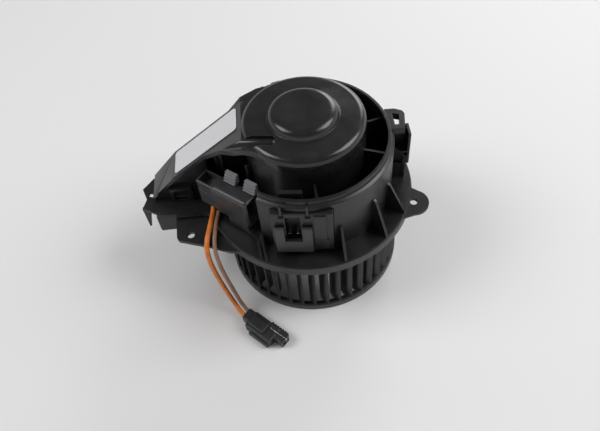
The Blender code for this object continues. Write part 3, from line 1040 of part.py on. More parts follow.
# Supply connector shell beside the ring wall, with two ribbed lugs and its terminals
def make_supply_connector():
    """Open-mouthed shell that lies against the ring wall."""
    shell = block("shell", (-SHELL_LENGTH / 2, -SHELL_DEPTH / 2, SHELL_BOTTOM),
                  (SHELL_LENGTH / 2, SHELL_DEPTH / 2, SHELL_TOP), SHELL_ROUND, 3)
    foot = block("shell_foot", (SHELL_LENGTH / 2 - SHELL_FOOT_LENGTH - 2.0 * MM,
                                -SHELL_DEPTH / 2 + 2.0 * MM,
                                FLANGE_TOP + FIT),
                 (SHELL_LENGTH / 2 - 4.0 * MM, SHELL_DEPTH / 2 - 2.0 * MM, SHELL_BOTTOM + 2.0 * MM))
    hollow = block("shell_hollow", (-SHELL_LENGTH / 2 + 14.0 * MM, -SHELL_DEPTH / 2 + SHELL_WALL,
                                    SHELL_BOTTOM + SHELL_WALL),
                   (SHELL_LENGTH / 2 + CUT_MARGIN, SHELL_DEPTH / 2 - SHELL_WALL,
                    SHELL_TOP - SHELL_WALL), 1.5 * MM)
    front = -SHELL_DEPTH / 2
    left = -SHELL_LENGTH / 2
    groove_upper = block("groove_upper", (left - 1.0 * MM, front - 1.0 * MM, SHELL_TOP - 6.6 * MM),
                         (left + 15.0 * MM, front + 1.2 * MM, SHELL_TOP - 3.8 * MM))
    groove_middle = block("groove_middle", (left - 1.0 * MM, front - 1.0 * MM, SHELL_TOP - 12.4 * MM),
                          (left + 15.0 * MM, front + 1.2 * MM, SHELL_TOP - 8.4 * MM))
    groove_low = block("groove_low", (left + 3.0 * MM, front - 1.0 * MM, SHELL_BOTTOM + 8.0 * MM),
                       (left + 17.0 * MM, front + 0.8 * MM, SHELL_BOTTOM + 9.0 * MM))
    add(shell, foot)
    cut(shell, hollow, groove_upper, groove_middle, groove_low)
    make_part("supply_connector_shell", placed(shell, *SHELL_CENTRE, 0.0, SHELL_ANGLE), SHELL_GREY)
    blade_start = -SHELL_LENGTH / 2 + 14.0 * MM + FIT
    for index in range(3):
        height = SHELL_BOTTOM + SHELL_HEIGHT * (index + 1) / 4
        blade = block("terminal", (blade_start, -3.1 * MM, height - 0.4 * MM),
                      (blade_start + 17.0 * MM, 3.1 * MM, height + 0.4 * MM))
        make_part("supply_terminal_%d" % (index + 1), put(blade, *SHELL_CENTRE, 0.0, SHELL_ANGLE),
                  TINNED_BRASS)
    top = SHELL_TOP + FIT
    back = SHELL_DEPTH / 2 + LUG_OVERHANG
    for index, name in enumerate(("ribbed_lug_left", "ribbed_lug_right")):
        middle = -0.5 * MM + index * LUG_SPACING
        lug = block("lug", (middle - LUG_LENGTH / 2, back - LUG_DEPTH, top),
                    (middle + LUG_LENGTH / 2, back, top + LUG_HEIGHT))
        pitch = LUG_DEPTH / LUG_RIDGES
        for ridge in range(LUG_RIDGES - 1):
            edge = back - LUG_DEPTH + pitch * (ridge + 1)
            groove = block("lug_groove",
                           (middle - LUG_LENGTH, edge - pitch / 4, top + LUG_HEIGHT - 1.4 * MM),
                           (middle + LUG_LENGTH, edge + pitch / 4, top + LUG_HEIGHT + CUT_MARGIN))
            cut(lug, groove)
        make_part(name, placed(lug, *SHELL_CENTRE, 0.0, SHELL_ANGLE), LUG_GREY)


# Blower regulator let into the ring wall: body, U-shaped socket lip, contacts and heat sink
def make_regulator():
    """Regulator body in its window, with the pieces it carries."""
    half = REGULATOR_WIDTH / 2
    low = FLANGE_TOP + REGULATOR_BASE
    high = low + REGULATOR_HEIGHT
    body = regulator_block("body", -half, half, REGULATOR_BACK, REGULATOR_FRONT, low, high, 0.8 * MM)
    tower = regulator_block("tower", -16.0 * MM, 1.0 * MM, REGULATOR_BACK - 1.4 * MM,
                            REGULATOR_BACK + 1.8 * MM,
                            high - 6.0 * MM, RING_TOP + 2.6 * MM)
    panel = regulator_block("panel", 8.5 * MM, 17.5 * MM, REGULATOR_FRONT - 1.0 * MM,
                            REGULATOR_FRONT + 1.2 * MM,
                            low + 15.0 * MM, high - 1.5 * MM)
    print_field = regulator_block("field", 8.0 * MM, 19.0 * MM, REGULATOR_FRONT - 1.0 * MM,
                                  REGULATOR_FRONT + 0.7 * MM, low + 2.0 * MM, low + 14.0 * MM)
    recess = regulator_block("recess", SOCKET_OFFSET - SOCKET_NOTCH_WIDTH / 2 + 1.0 * MM,
                             SOCKET_OFFSET + SOCKET_NOTCH_WIDTH / 2 - 1.0 * MM, REGULATOR_FRONT - 7.0 * MM,
                             REGULATOR_FRONT + CUT_MARGIN, low + 14.0 * MM, high - 4.0 * MM)
    add(body, tower, panel, print_field)
    for offset in (-14.5 * MM, 4.5 * MM):
        add(body, regulator_block("hook", offset - 1.8 * MM, offset + 1.8 * MM, REGULATOR_FRONT - 1.0 * MM,
                                  REGULATOR_FRONT + 2.2 * MM, high - 5.0 * MM, high - 2.5 * MM))
        add(body, regulator_block("post", offset - 0.8 * MM, offset + 0.8 * MM, REGULATOR_FRONT - 1.1 * MM,
                                  REGULATOR_FRONT + 0.8 * MM, high - 3.5 * MM, high + 9.0 * MM))
    cut(body, recess)
    make_part("regulator_body", body, HOLDER_BLACK)
    lip_back = REGULATOR_FRONT + FIT
    lip_front = lip_back + SOCKET_THICKNESS
    lip = regulator_block("lip", SOCKET_OFFSET - SOCKET_WIDTH / 2, SOCKET_OFFSET + SOCKET_WIDTH / 2,
                          lip_back,
                          lip_front, low + 1.0 * MM, low + 1.0 * MM + SOCKET_HEIGHT, 1.2 * MM)
    notch = regulator_block("notch", SOCKET_OFFSET - SOCKET_NOTCH_WIDTH / 2,
                            SOCKET_OFFSET + SOCKET_NOTCH_WIDTH / 2,
                            lip_back - CUT_MARGIN, lip_front + CUT_MARGIN,
                            low + 1.0 * MM + SOCKET_HEIGHT - SOCKET_NOTCH_DEPTH, high + CUT_MARGIN)
    make_part("regulator_socket_lip", cut(lip, notch), SHELL_GREY)
    for index, offset in enumerate((-3.0 * MM, 3.0 * MM)):
        pin_back = REGULATOR_FRONT - 7.0 * MM + FIT
        pin = regulator_block("pin", SOCKET_OFFSET + offset - 1.1 * MM, SOCKET_OFFSET + offset + 1.1 * MM,
                              pin_back,
                              pin_back + 6.0 * MM, low + 19.0 * MM, low + 20.0 * MM)
        make_part("regulator_contact_%d" % (index + 1), pin, TINNED_BRASS)
    back = REGULATOR_BACK - FIT
    base = regulator_block("sink_base", -HEAT_SINK_WIDTH / 2 + SOCKET_OFFSET,
                           HEAT_SINK_WIDTH / 2 + SOCKET_OFFSET,
                           back - 2.4 * MM, back, low, low + HEAT_SINK_HEIGHT)
    first = SOCKET_OFFSET - HEAT_SINK_WIDTH / 2
    pitch = (HEAT_SINK_WIDTH - 1.4 * MM) / (HEAT_SINK_FINS - 1)
    for index in range(HEAT_SINK_FINS):
        left = first + index * pitch
        add(base, regulator_block("sink_fin", left, left + 1.4 * MM, CUP_RADIUS + 3.0 * MM,
                                  back - 1.0 * MM, low,
                                  low + HEAT_SINK_HEIGHT))
    make_part("regulator_heat_sink", base, SINK_ALUMINIUM)


# Free lead: two wires laid over the fixing plate to the plug on the table
def smooth_points(route, step):
    """Points every step along a Catmull-Rom curve through the route, in its own units."""
    points = [Vector(point) for point in route]
    ends = [2 * points[0] - points[1]] + points + [2 * points[-1] - points[-2]]
    fine = []
    for index in range(1, len(ends) - 2):
        a, b, c, d = ends[index - 1:index + 3]
        for part in range(40):
            t = part / 40
            fine.append(0.5 * (2 * b + (c - a) * t + (2 * a - 5 * b + 4 * c - d) * t * t
                               + (3 * b - a - 3 * c + d) * t * t * t))
    fine.append(points[-1])
    total = sum((second - first).length for first, second in zip(fine, fine[1:]))
    count = round(total / step)
    spaced = [fine[0]]
    travelled = 0.0
    for first, second in zip(fine, fine[1:]):
        travelled += (second - first).length
        if travelled >= len(spaced) * total / count:
            spaced.append(second)
    spaced[-1] = fine[-1]
    return spaced


def make_wire(name, route, diameter, finish):
    """One insulated wire as a round tube."""
    points = smooth_points(route, ROUTE_STEP * diameter / MM)
    curve = bpy.data.curves.new(name, "CURVE")
    curve.dimensions = "3D"
    curve.bevel_depth = diameter / 2
    curve.bevel_resolution = 2
    curve.use_fill_caps = True
    spline = curve.splines.new("POLY")
    spline.points.add(len(points) - 1)
    for target, point in zip(spline.points, points):
        target.co = (*(point * MM), 1.0)
    made = bpy.data.objects.new(name + "_curve", curve)
    CUTTERS.objects.link(made)
    bpy.context.view_layer.update()
    make_part(name, curve_to_blank(made), finish)


def make_plug():
    """Two-way plug lying on the table, with the bare blade and pin at its front."""
    width = PLUG_WIDTH / 2
    x0, y0 = PLUG_START
    collar = block("plug_collar", (0.0, -6.5 * MM, 0.5 * MM), (PLUG_COLLAR_LENGTH + 2.0 * MM, 6.5 * MM,
                                                               9.5 * MM), 1.0 * MM)
    start = PLUG_COLLAR_LENGTH
    end = start + PLUG_LENGTH
    body = block("plug_body_blank", (start, -width, 0.0), (end, width, PLUG_HEIGHT), 1.2 * MM)
    step = block("plug_step", (start + 8.0 * MM, -width + 3.0 * MM, PLUG_HEIGHT - 1.0 * MM),
                 (end - 3.0 * MM, width - 4.0 * MM, PLUG_HEIGHT + 2.0 * MM), 0.8 * MM)
    latch = block("plug_latch", (start + 5.0 * MM, -width - 2.4 * MM, 3.0 * MM),
                  (end - 6.0 * MM, -width + 1.0 * MM, 8.0 * MM), 0.8 * MM)
    mouth = block("plug_mouth", (end - 14.0 * MM, -width + PLUG_WALL, PLUG_WALL),
                  (end + CUT_MARGIN, width - 5.0 * MM, PLUG_HEIGHT - PLUG_WALL))
    slot = block("plug_slot", (end - 16.0 * MM, width - 3.6 * MM, PLUG_HEIGHT - 2.2 * MM),
                 (end + CUT_MARGIN, width - 1.4 * MM, PLUG_HEIGHT + CUT_MARGIN))
    add(body, collar, step, latch)
    cut(body, mouth, slot)
    make_part("plug_body", placed(body, x0, y0, 0.0, PLUG_ANGLE), PLUG_BLACK)
    blade = block("blade", (end - 15.4 * MM, width - 3.2 * MM, PLUG_HEIGHT - 2.2 * MM + FIT),
                  (end + 3.0 * MM, width - 1.8 * MM, PLUG_HEIGHT - 0.4 * MM))
    make_part("plug_blade", put(blade, x0, y0, 0.0, PLUG_ANGLE), TINNED_BRASS)
    pin = rod("pin", 0.6 * MM, 0.0, 17.0 * MM, 12)
    pin.data.transform(Matrix.Rotation(math.radians(90.0), 4, "Y"))
    pin.data.transform(Matrix.Translation((end - 14.0 * MM + FIT, -1.5 * MM, PLUG_HEIGHT / 2)))
    make_part("plug_pin", put(pin, x0, y0, 0.0, PLUG_ANGLE), TINNED_BRASS)


# Place of the whole unit
def centre_base(lead):
    """Set the box round the unit, without its lead, on the origin by the middle of its underside."""
    bpy.context.view_layer.update()
    corners = [part.matrix_world @ Vector(corner) for part in PARTS.objects if part.name not in lead
               for corner in part.bound_box]
    low = [min(corner[axis] for corner in corners) for axis in range(3)]
    high = [max(corner[axis] for corner in corners) for axis in range(3)]
    middle = Vector(((low[0] + high[0]) / 2, (low[1] + high[1]) / 2, low[2]))
    for part in PARTS.objects:
        part.location -= middle


make_fan_wheel()
make_shaft_and_nut()
make_motor_shell()
make_bearings()
make_magnets()
make_armature()
make_brush_gear()
make_dampers()
make_holder()
make_cover()
make_label()
make_supply_connector()
make_regulator()
make_wire("wire_orange", ORANGE_ROUTE, ORANGE_DIAMETER, ORANGE_PVC)
make_wire("wire_brown", BROWN_ROUTE, BROWN_DIAMETER, BROWN_PVC)
make_plug()
centre_base(("wire_orange", "wire_brown", "plug_body", "plug_blade", "plug_pin"))
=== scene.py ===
"""Looks of a car cabin blower motor: black holder and cover, caged fan wheel, regulator and lead."""
import math

import bmesh
import bpy
from mathutils import Matrix, Vector


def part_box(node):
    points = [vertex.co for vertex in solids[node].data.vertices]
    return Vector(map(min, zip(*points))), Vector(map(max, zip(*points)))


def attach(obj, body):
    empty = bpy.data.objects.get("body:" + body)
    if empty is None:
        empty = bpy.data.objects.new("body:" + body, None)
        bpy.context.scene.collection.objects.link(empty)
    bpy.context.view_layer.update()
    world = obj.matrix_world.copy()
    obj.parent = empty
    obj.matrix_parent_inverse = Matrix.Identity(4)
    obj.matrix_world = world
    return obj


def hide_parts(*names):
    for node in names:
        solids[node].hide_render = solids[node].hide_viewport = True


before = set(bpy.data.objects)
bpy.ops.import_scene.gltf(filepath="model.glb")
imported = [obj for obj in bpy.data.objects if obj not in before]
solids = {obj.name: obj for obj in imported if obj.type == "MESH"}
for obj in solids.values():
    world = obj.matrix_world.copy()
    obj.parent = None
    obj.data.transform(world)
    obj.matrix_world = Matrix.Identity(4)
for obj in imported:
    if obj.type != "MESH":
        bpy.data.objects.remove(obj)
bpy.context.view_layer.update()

# Viewpoint
# The unit stands on its fan wheel on a table and is seen from about half a metre, from the side of the
# regulator and well above it, with the picture tipped a few degrees.
wheel_low, wheel_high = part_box("fan_wheel")
wheel_axis = (wheel_low + wheel_high) / 2
sight_rise = math.radians(52.9)
sight_tip = math.radians(-6.43)
sight_distance = 0.5337
sight_target = Vector((wheel_axis.x - 0.0103, 0.0, 0.0369))
film_width = 36.0

level = Vector((1.0, 0.0, 0.0))
steep = Vector((0.0, math.sin(sight_rise), math.cos(sight_rise)))
toward_lens = Vector((0.0, -math.cos(sight_rise), math.sin(sight_rise)))
picture_right = level * math.cos(sight_tip) + steep * math.sin(sight_tip)
picture_up = steep * math.cos(sight_tip) - level * math.sin(sight_tip)
lens = bpy.data.cameras.new("viewpoint")
lens.sensor_width = film_width
lens.lens = film_width
lens.clip_start = 0.01
lens.clip_end = 20.0
viewpoint = bpy.data.objects.new("viewpoint", lens)
viewpoint.matrix_world = Matrix.Translation(sight_target + toward_lens * sight_distance) @ Matrix(
    (picture_right, picture_up, toward_lens)).transposed().to_4x4()
bpy.context.scene.collection.objects.link(viewpoint)
bpy.context.scene.camera = viewpoint
bpy.context.scene.view_settings.view_transform = "Standard"


# Table and light
# Seamless pale studio table that fades into the white of the room. Soft boxes stand to the right, the left
# and low behind, and the room is pale at eye level and dark overhead, so black plastic stays black.
def linear(code):
    """Scene colour of an sRGB hex value."""
    parts = [int(code[place:place + 2], 16) / 255 for place in (0, 2, 4)]
    return (*[part / 12.92 if part <= 0.04045 else ((part + 0.055) / 1.055) ** 2.4 for part in parts], 1.0)


def add_node(tree, kind, settings=(), links=()):
    """One node of a material with its settings, the values of its sockets and the outputs that feed them."""
    made = tree.nodes.new(kind)
    for name, value in dict(settings).items():
        if isinstance(name, str) and hasattr(made, name):
            setattr(made, name, value)
        else:
            made.inputs[name].default_value = value
    for name, output in dict(links).items():
        tree.links.new(output, made.inputs[name])
    return made


table_half_width = 6.0
table_gap = 0.0004
fade_start = 0.8
fade_end = 2.6
table = bpy.data.meshes.new("studio_table")
sheet = bmesh.new()
bmesh.ops.create_grid(sheet, x_segments=1, y_segments=1, size=table_half_width)
sheet.to_mesh(table)
sheet.free()
studio_table = bpy.data.objects.new("studio_table", table)
studio_table.location = (0.0, 0.0, -table_gap)
bpy.context.scene.collection.objects.link(studio_table)
# White laminate with a matt press finish: hardly any shine, very faint clouds, and no edge to be seen.
table_coat = bpy.data.materials.new("matt_white_laminate")
table_coat.use_nodes = True
tree = table_coat.node_tree
place = add_node(tree, "ShaderNodeTexCoord").outputs["Object"]
cloud = add_node(tree, "ShaderNodeTexNoise", {"Scale": 3.0, "Detail": 2.0}, {"Vector": place})
shade = add_node(tree, "ShaderNodeMix", {"data_type": "RGBA", 6: linear("E6E5E5"), 7: linear("E9E8E8")},
                 {0: cloud.outputs[0]})
laminate = tree.nodes["Principled BSDF"]
laminate.inputs["Roughness"].default_value = 0.7
laminate.inputs["Specular IOR Level"].default_value = 0.2
tree.links.new(shade.outputs[2], laminate.inputs["Base Color"])
reach = add_node(tree, "ShaderNodeVectorMath", {"operation": "LENGTH"}, {0: place})
fading = add_node(tree, "ShaderNodeMapRange", {"From Min": fade_start, "From Max": fade_end},
                  {"Value": reach.outputs["Value"]})
air = add_node(tree, "ShaderNodeBsdfTransparent")
edge = add_node(tree, "ShaderNodeMixShader",
                links={0: fading.outputs[0], 1: laminate.outputs[0], 2: air.outputs[0]})
tree.links.new(edge.outputs[0], tree.nodes["Material Output"].inputs["Surface"])
table.materials.append(table_coat)

room = bpy.data.worlds.new("pale_room")
room.use_nodes = True
tree = room.node_tree
room_fill = 0.2
heading = add_node(tree, "ShaderNodeTexCoord").outputs["Generated"]
height = add_node(tree, "ShaderNodeSeparateXYZ", links={"Vector": heading})
wall = add_node(tree, "ShaderNodeMapRange",
                {"From Min": 0.1, "From Max": 0.4, "To Min": 1.0, "To Max": room_fill},
                {"Value": height.outputs["Z"]})
ray = add_node(tree, "ShaderNodeLightPath")
seen = add_node(tree, "ShaderNodeMath", {"operation": "MAXIMUM"},
                {0: ray.outputs["Is Camera Ray"], 1: ray.outputs["Is Glossy Ray"]})
shown = add_node(tree, "ShaderNodeMath", {"operation": "MAXIMUM"},
                 {0: seen.outputs[0], 1: ray.outputs["Is Transmission Ray"]})
strength = add_node(tree, "ShaderNodeMix", {"data_type": "FLOAT", 2: room_fill},
                    {0: shown.outputs[0], 3: wall.outputs[0]})
sky = tree.nodes["Background"]
sky.inputs["Color"].default_value = linear("FFFFFF")
tree.links.new(strength.outputs[0], sky.inputs["Strength"])
bpy.context.scene.world = room


def soft_light(name, place, aim, size, watts):
    """A square white soft box that faces a point."""
    lamp = bpy.data.lights.new(name, "AREA")
    lamp.shape = "SQUARE"
    lamp.size = size
    lamp.energy = watts
    box = bpy.data.objects.new(name, lamp)
    box.location = place
    box.rotation_euler = (Vector(place) - Vector(aim)).to_track_quat("Z", "Y").to_euler()
    bpy.context.scene.collection.objects.link(box)


soft_light("right_soft_box", (1.45, -0.05, 1.5), (0.0, 0.0, 0.05), 1.2, 25.5)
soft_light("left_soft_box", (-1.35, 0.0, 1.6), (0.0, 0.0, 0.05), 1.0, 16.5)
soft_light("back_soft_box", (0.9, 1.7, 0.9), (0.0, 0.0, 0.08), 1.0, 14.0)


# Fan wheel
# Squirrel-cage wheel of black polypropylene, injection moulded in one piece: an inlet ring, curved blades
# and a dished back that is pressed on the motor shaft. Pale grey painted light lies in its hollows.
def smooth_faces(solid, sharp):
    """Shade a solid's curved faces as smooth, keep its edges crisp and its large faces flat."""
    for face in solid.data.polygons:
        face.use_smooth = True
    joined = solid.modifiers.new("joined_faces", "WELD")
    joined.merge_threshold = 0.000002
    crisp = solid.modifiers.new("crisp_edges", "EDGE_SPLIT")
    crisp.split_angle = math.radians(sharp)
    level_faces = solid.modifiers.new("level_faces", "WEIGHTED_NORMAL")
    level_faces.weight = 100


def moulded_plastic(name, clean, worn, gloss, grain_mm, grain_height_mm, edge_mm=0.35, ior=1.5, painted_light="",
                    painted_light_share=0.0):
    """Injection moulded plastic: grained by the mould, cloudy where it flowed, rounded at its edges."""
    # The real grain is a tenth of a millimetre wide, too fine to show, so it is drawn several times coarser.
    cloud_mm = 18.0
    painted_light_patch_mm = 6.0
    painted_light_depth_mm = 6.0
    finish = bpy.data.materials.new(name)
    finish.use_nodes = True
    tree = finish.node_tree
    place = add_node(tree, "ShaderNodeTexCoord").outputs["Object"]
    flow = add_node(tree, "ShaderNodeTexNoise",
                    {"Scale": 1000 / cloud_mm, "Detail": 4.0, "Roughness": 0.62, "Distortion": 0.6},
                    {"Vector": place})
    share = add_node(tree, "ShaderNodeMapRange", {"From Min": 0.36, "From Max": 0.68},
                     {"Value": flow.outputs[0]})
    tint = add_node(tree, "ShaderNodeMix", {"data_type": "RGBA", 6: linear(clean), 7: linear(worn)},
                    {0: share.outputs[0]})
    colour = tint.outputs[2]
    # Painted light: pale grey laid in noisy patches into hollows found by ambient occlusion, standing in for
    # lit faces.
    if painted_light:
        light_patches = add_node(tree, "ShaderNodeTexNoise", {"Scale": 1000 / painted_light_patch_mm, "Detail": 3.0},
                           {"Vector": place})
        hollow = add_node(tree, "ShaderNodeAmbientOcclusion",
                          {"samples": 4, "Distance": painted_light_depth_mm / 1000})
        inside = add_node(tree, "ShaderNodeMapRange",
                          {"From Min": 0.9, "From Max": 0.35, "To Max": painted_light_share},
                          {"Value": hollow.outputs["AO"]})
        patch = add_node(tree, "ShaderNodeMath", {"operation": "MULTIPLY"},
                         {0: light_patches.outputs[0], 1: inside.outputs[0]})
        with_painted_light = add_node(tree, "ShaderNodeMix", {"data_type": "RGBA", 7: linear(painted_light)},
                         {0: patch.outputs[0], 6: colour})
        colour = with_painted_light.outputs[2]
    grain = add_node(tree, "ShaderNodeTexNoise", {"Scale": 1000 / grain_mm, "Detail": 2.0, "Roughness": 0.7},
                     {"Vector": place})
    soft_edge = add_node(tree, "ShaderNodeBevel", {"samples": 4, "Radius": edge_mm / 1000})
    relief = add_node(tree, "ShaderNodeBump", {"Strength": 0.6, "Distance": grain_height_mm / 1000},
                      {"Height": grain.outputs[0], "Normal": soft_edge.outputs[0]})
    sheen = add_node(tree, "ShaderNodeMapRange",
                     {"From Min": 0.3, "From Max": 0.7, "To Min": gloss - 0.05, "To Max": gloss + 0.07},
                     {"Value": flow.outputs[0]})
    skin = tree.nodes["Principled BSDF"]
    skin.inputs["IOR"].default_value = ior
    tree.links.new(colour, skin.inputs["Base Color"])
    tree.links.new(sheen.outputs[0], skin.inputs["Roughness"])
    tree.links.new(relief.outputs[0], skin.inputs["Normal"])
    return finish


def dress(finish, *pieces, sharp=32.0):
    """Give solids, named or made here, their finish. Edges sharper than an angle in degrees stay crisp."""
    for piece in pieces:
        solid = solids[piece] if isinstance(piece, str) else piece
        solid.data.materials.clear()
        solid.data.materials.append(finish)
        smooth_faces(solid, sharp)


# Unfilled polypropylene from a fine-blasted mould: deep black, a soft satin light along the blades.
# The pale grey in the wheel's hollows is painted light for the lit faces of the blades.
dress(moulded_plastic("satin_black_polypropylene", "1A1A1C", "222224", 0.38, 0.5, 0.012, 0.3,
                      painted_light="8A857C", painted_light_share=0.5), "fan_wheel")


# Motor
# Two-brush direct current motor: a drawn zinc-plated can and end bell, ferrite magnets, a laminated armature
# wound with enamelled copper, and a brush card of phenolic board with its springs, chokes and capacitor.
def worked_metal(name, bright, dull, roughness, mark_mm, stretch, mark_height_mm):
    """Bare or plated metal with the marks of its making, closer together along the axis by the stretch."""
    finish = bpy.data.materials.new(name)
    finish.use_nodes = True
    tree = finish.node_tree
    place = add_node(tree, "ShaderNodeTexCoord").outputs["Object"]
    laid = add_node(tree, "ShaderNodeMapping", {"Scale": (1.0, 1.0, stretch)}, {"Vector": place})
    marks = add_node(tree, "ShaderNodeTexNoise", {"Scale": 1000 / mark_mm, "Detail": 3.0, "Roughness": 0.65},
                     {"Vector": laid.outputs[0]})
    tint = add_node(tree, "ShaderNodeMix", {"data_type": "RGBA", 6: linear(bright), 7: linear(dull)},
                    {0: marks.outputs[0]})
    sheen = add_node(tree, "ShaderNodeMapRange", {"To Min": roughness - 0.08, "To Max": roughness + 0.1},
                     {"Value": marks.outputs[0]})
    relief = add_node(tree, "ShaderNodeBump", {"Strength": 0.5, "Distance": mark_height_mm / 1000},
                      {"Height": marks.outputs[0]})
    skin = tree.nodes["Principled BSDF"]
    skin.inputs["Metallic"].default_value = 1.0
    tree.links.new(tint.outputs[2], skin.inputs["Base Color"])
    tree.links.new(sheen.outputs[0], skin.inputs["Roughness"])
    tree.links.new(relief.outputs[0], skin.inputs["Normal"])
    return finish


# Zinc plate on drawn steel: cool grey with a fine vertical draw.
dress(worked_metal("zinc_plated_drawn_steel", "B4B8BC", "8E9296", 0.34, 1.2, 0.2, 0.006),
      "motor_can", "motor_end_bell")
# Ground and hardened steel: bright and sleek, with close turning marks round the shaft.
dress(worked_metal("ground_shaft_steel", "C4C6C8", "A2A4A6", 0.2, 0.6, 6.0, 0.002), "motor_shaft")
# Spring strip, hardened and blued: dark and cool, with a clean shine.
dress(worked_metal("blue_spring_steel", "7C8088", "5A5E66", 0.3, 0.8, 1.0, 0.003), "wheel_push_nut",
      "magnet_spring_front", "magnet_spring_rear", "brush_spring_left", "brush_spring_right")
# Bronze powder pressed, sintered and soaked with oil: dull brown gold with dark pores.
dress(worked_metal("oil_filled_sintered_bronze", "A07C4C", "6E5230", 0.55, 0.25, 1.0, 0.01),
      "bearing_bush_lower", "bearing_bush_upper")
# Stacked sheets half a millimetre thick: dull, with the edge of each sheet as a fine line round the stack.
dress(worked_metal("stacked_electrical_steel", "74787C", "4A4D50", 0.48, 0.5, 8.0, 0.02), "armature_stack")
# Enamelled wire under clear varnish: deep red brown, wet-looking, uneven like the turns.
dress(worked_metal("varnished_copper_wire", "A8552E", "6E3016", 0.32, 0.9, 1.0, 0.06), "armature_windings")
# Copper bars turned true in one pass: rosy and bright, with long streaks along the bars.
dress(worked_metal("turned_copper_bars", "C87C52", "9A5634", 0.28, 1.4, 0.1, 0.01), "commutator")
# Thin brass folded to a tube: yellow, bright, with faint draw marks.
dress(worked_metal("drawn_brass_tube", "C8A660", "9C7C40", 0.3, 0.7, 0.3, 0.004), "brush_tube_left",
      "brush_tube_right")


def dull_solid(name, light, dark, roughness, fleck_mm, height_mm, ior=1.5):
    """Pressed, dipped, laminated or rubber piece with a flecked, dull skin."""
    finish = bpy.data.materials.new(name)
    finish.use_nodes = True
    tree = finish.node_tree
    place = add_node(tree, "ShaderNodeTexCoord").outputs["Object"]
    fleck = add_node(tree, "ShaderNodeTexNoise", {"Scale": 1000 / fleck_mm, "Detail": 3.0, "Roughness": 0.7},
                     {"Vector": place})
    tint = add_node(tree, "ShaderNodeMix", {"data_type": "RGBA", 6: linear(dark), 7: linear(light)},
                    {0: fleck.outputs[0]})
    relief = add_node(tree, "ShaderNodeBump", {"Strength": 0.5, "Distance": height_mm / 1000},
                      {"Height": fleck.outputs[0]})
    skin = tree.nodes["Principled BSDF"]
    skin.inputs["Roughness"].default_value = roughness
    skin.inputs["IOR"].default_value = ior
    tree.links.new(tint.outputs[2], skin.inputs["Base Color"])
    tree.links.new(relief.outputs[0], skin.inputs["Normal"])
    return finish


# Strontium ferrite, pressed and fired: charcoal and dry, like a dense ceramic.
dress(dull_solid("pressed_ferrite", "3A3A3C", "28282A", 0.68, 0.4, 0.02), "magnet_left", "magnet_right")
# Copper and graphite powder, pressed: near black, with a faint warm glint.
dress(dull_solid("copper_graphite", "34302E", "201E1D", 0.55, 0.3, 0.01), "carbon_brush_left",
      "carbon_brush_right")
# Paper in phenolic resin, pressed and punched: warm brown with a waxy light.
dress(dull_solid("phenolic_paper_board", "74492C", "5C3820", 0.5, 0.8, 0.01, 1.6), "brush_card")
# Wire wound on a ferrite rod and varnished: copper brown, ribbed by the turns.
dress(dull_solid("wound_ferrite_core", "8A4A28", "5A2C16", 0.4, 0.5, 0.04), "choke_front", "choke_rear")
# Ceramic disc dipped in resin: ochre, smooth and slightly shiny.
dress(dull_solid("dipped_ceramic", "B0702C", "96581E", 0.35, 1.5, 0.01), "suppressor_capacitor")
# Rubber from a plain mould: soot black and dry.
dress(dull_solid("moulded_damper_rubber", "2C2C2E", "202021", 0.75, 0.5, 0.02), "damper_ring_lower",
      "damper_ring_upper")

# Motor holder
# One moulding of talc-filled black polypropylene carries everything: the ribbed motor cup, the flange that
# closes the heater case, the duct trough, the brackets, the fixing plate and the fixing ear.
# Talc makes it duller than the cover, with a fine spark-eroded grain.
dress(moulded_plastic("talc_filled_black_polypropylene", "161618", "1D1D1F", 0.34, 0.6, 0.02, 0.35),
      "motor_holder")

# Cover with duct lid
# A second moulding of black polypropylene snaps on the cup and closes the air duct: a flat cap with a dome
# over the shaft end and a sloping lid over the arm.
# Its mould was polished smoother, so it shows broad soft lights, and its bends run on without a crease.
dress(moulded_plastic("smooth_black_polypropylene", "1B1B1D", "222224", 0.22, 0.9, 0.008, 0.7),
      "motor_cover", sharp=38.0)


# Sticker
# Plain white film label on the lid's slope, die cut with round corners and pressed on by hand. It is the
# solid's own slab, with the four edges that run through the film rounded.
def stand_in(piece, finish_slot, *nodes):
    """Let a piece made here ride on the housing in place of solids. The finish slot is not used."""
    bpy.context.scene.collection.objects.link(piece)
    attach(piece, "housing")
    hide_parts(*nodes)


corner_radius = 0.0028
film_limit = 0.001
weld_reach = 0.00001
film = solids["duct_label"].data.copy()
film.transform(solids["duct_label"].matrix_world)
shape = bmesh.new()
shape.from_mesh(film)
bmesh.ops.remove_doubles(shape, verts=shape.verts, dist=weld_reach)
corners = [edge for edge in shape.edges if edge.calc_length() < film_limit]
bmesh.ops.bevel(shape, geom=corners, offset=corner_radius, segments=6, profile=0.5, affect="EDGES")
shape.to_mesh(film)
shape.free()
film_label = bpy.data.objects.new("film_label", film)
stand_in(film_label, "label_film", "duct_label")
# Polyester film with a satin varnish: cool white, very smooth.
dress(dull_solid("white_polyester_film", "E6E6E8", "DDDDE0", 0.42, 3.0, 0.004, 1.58), film_label)

# Supply connector
# Shell of glass-filled nylon beside the ring: a rounded sleeve with an open mouth, a lower box with an open
# top and grooves at its other end, and a foot on the flange. Three tinned tabs stand in the sleeve.
axis_shift = Vector((wheel_axis.x * 1000, 0.0, 0.0))
shell_place = Vector((-64.3, -23.0, 0.0)) + axis_shift
shell_turn = math.radians(-39.3)
shell_left = -25.25
shell_right = 25.25
shell_front = -8.0
shell_back = 8.0
shell_bottom = 85.3
shell_top = 115.0
shell_wall = 1.8
box_end = shell_left + 15.0
box_front = shell_front + 1.4
box_bottom = shell_bottom + 2.0
box_top = shell_top - 1.4
well_floor = 106.0
foot_bottom = 80.6
foot_depth = 12.0
sleeve_round = 3.5
overcut = 1.0


def working_piece(shape):
    """Working object of a shape, used up by the moulding that it goes into."""
    mesh = bpy.data.meshes.new("working_shape")
    shape.to_mesh(mesh)
    shape.free()
    made = bpy.data.objects.new("working_shape", mesh)
    bpy.context.scene.collection.objects.link(made)
    return made


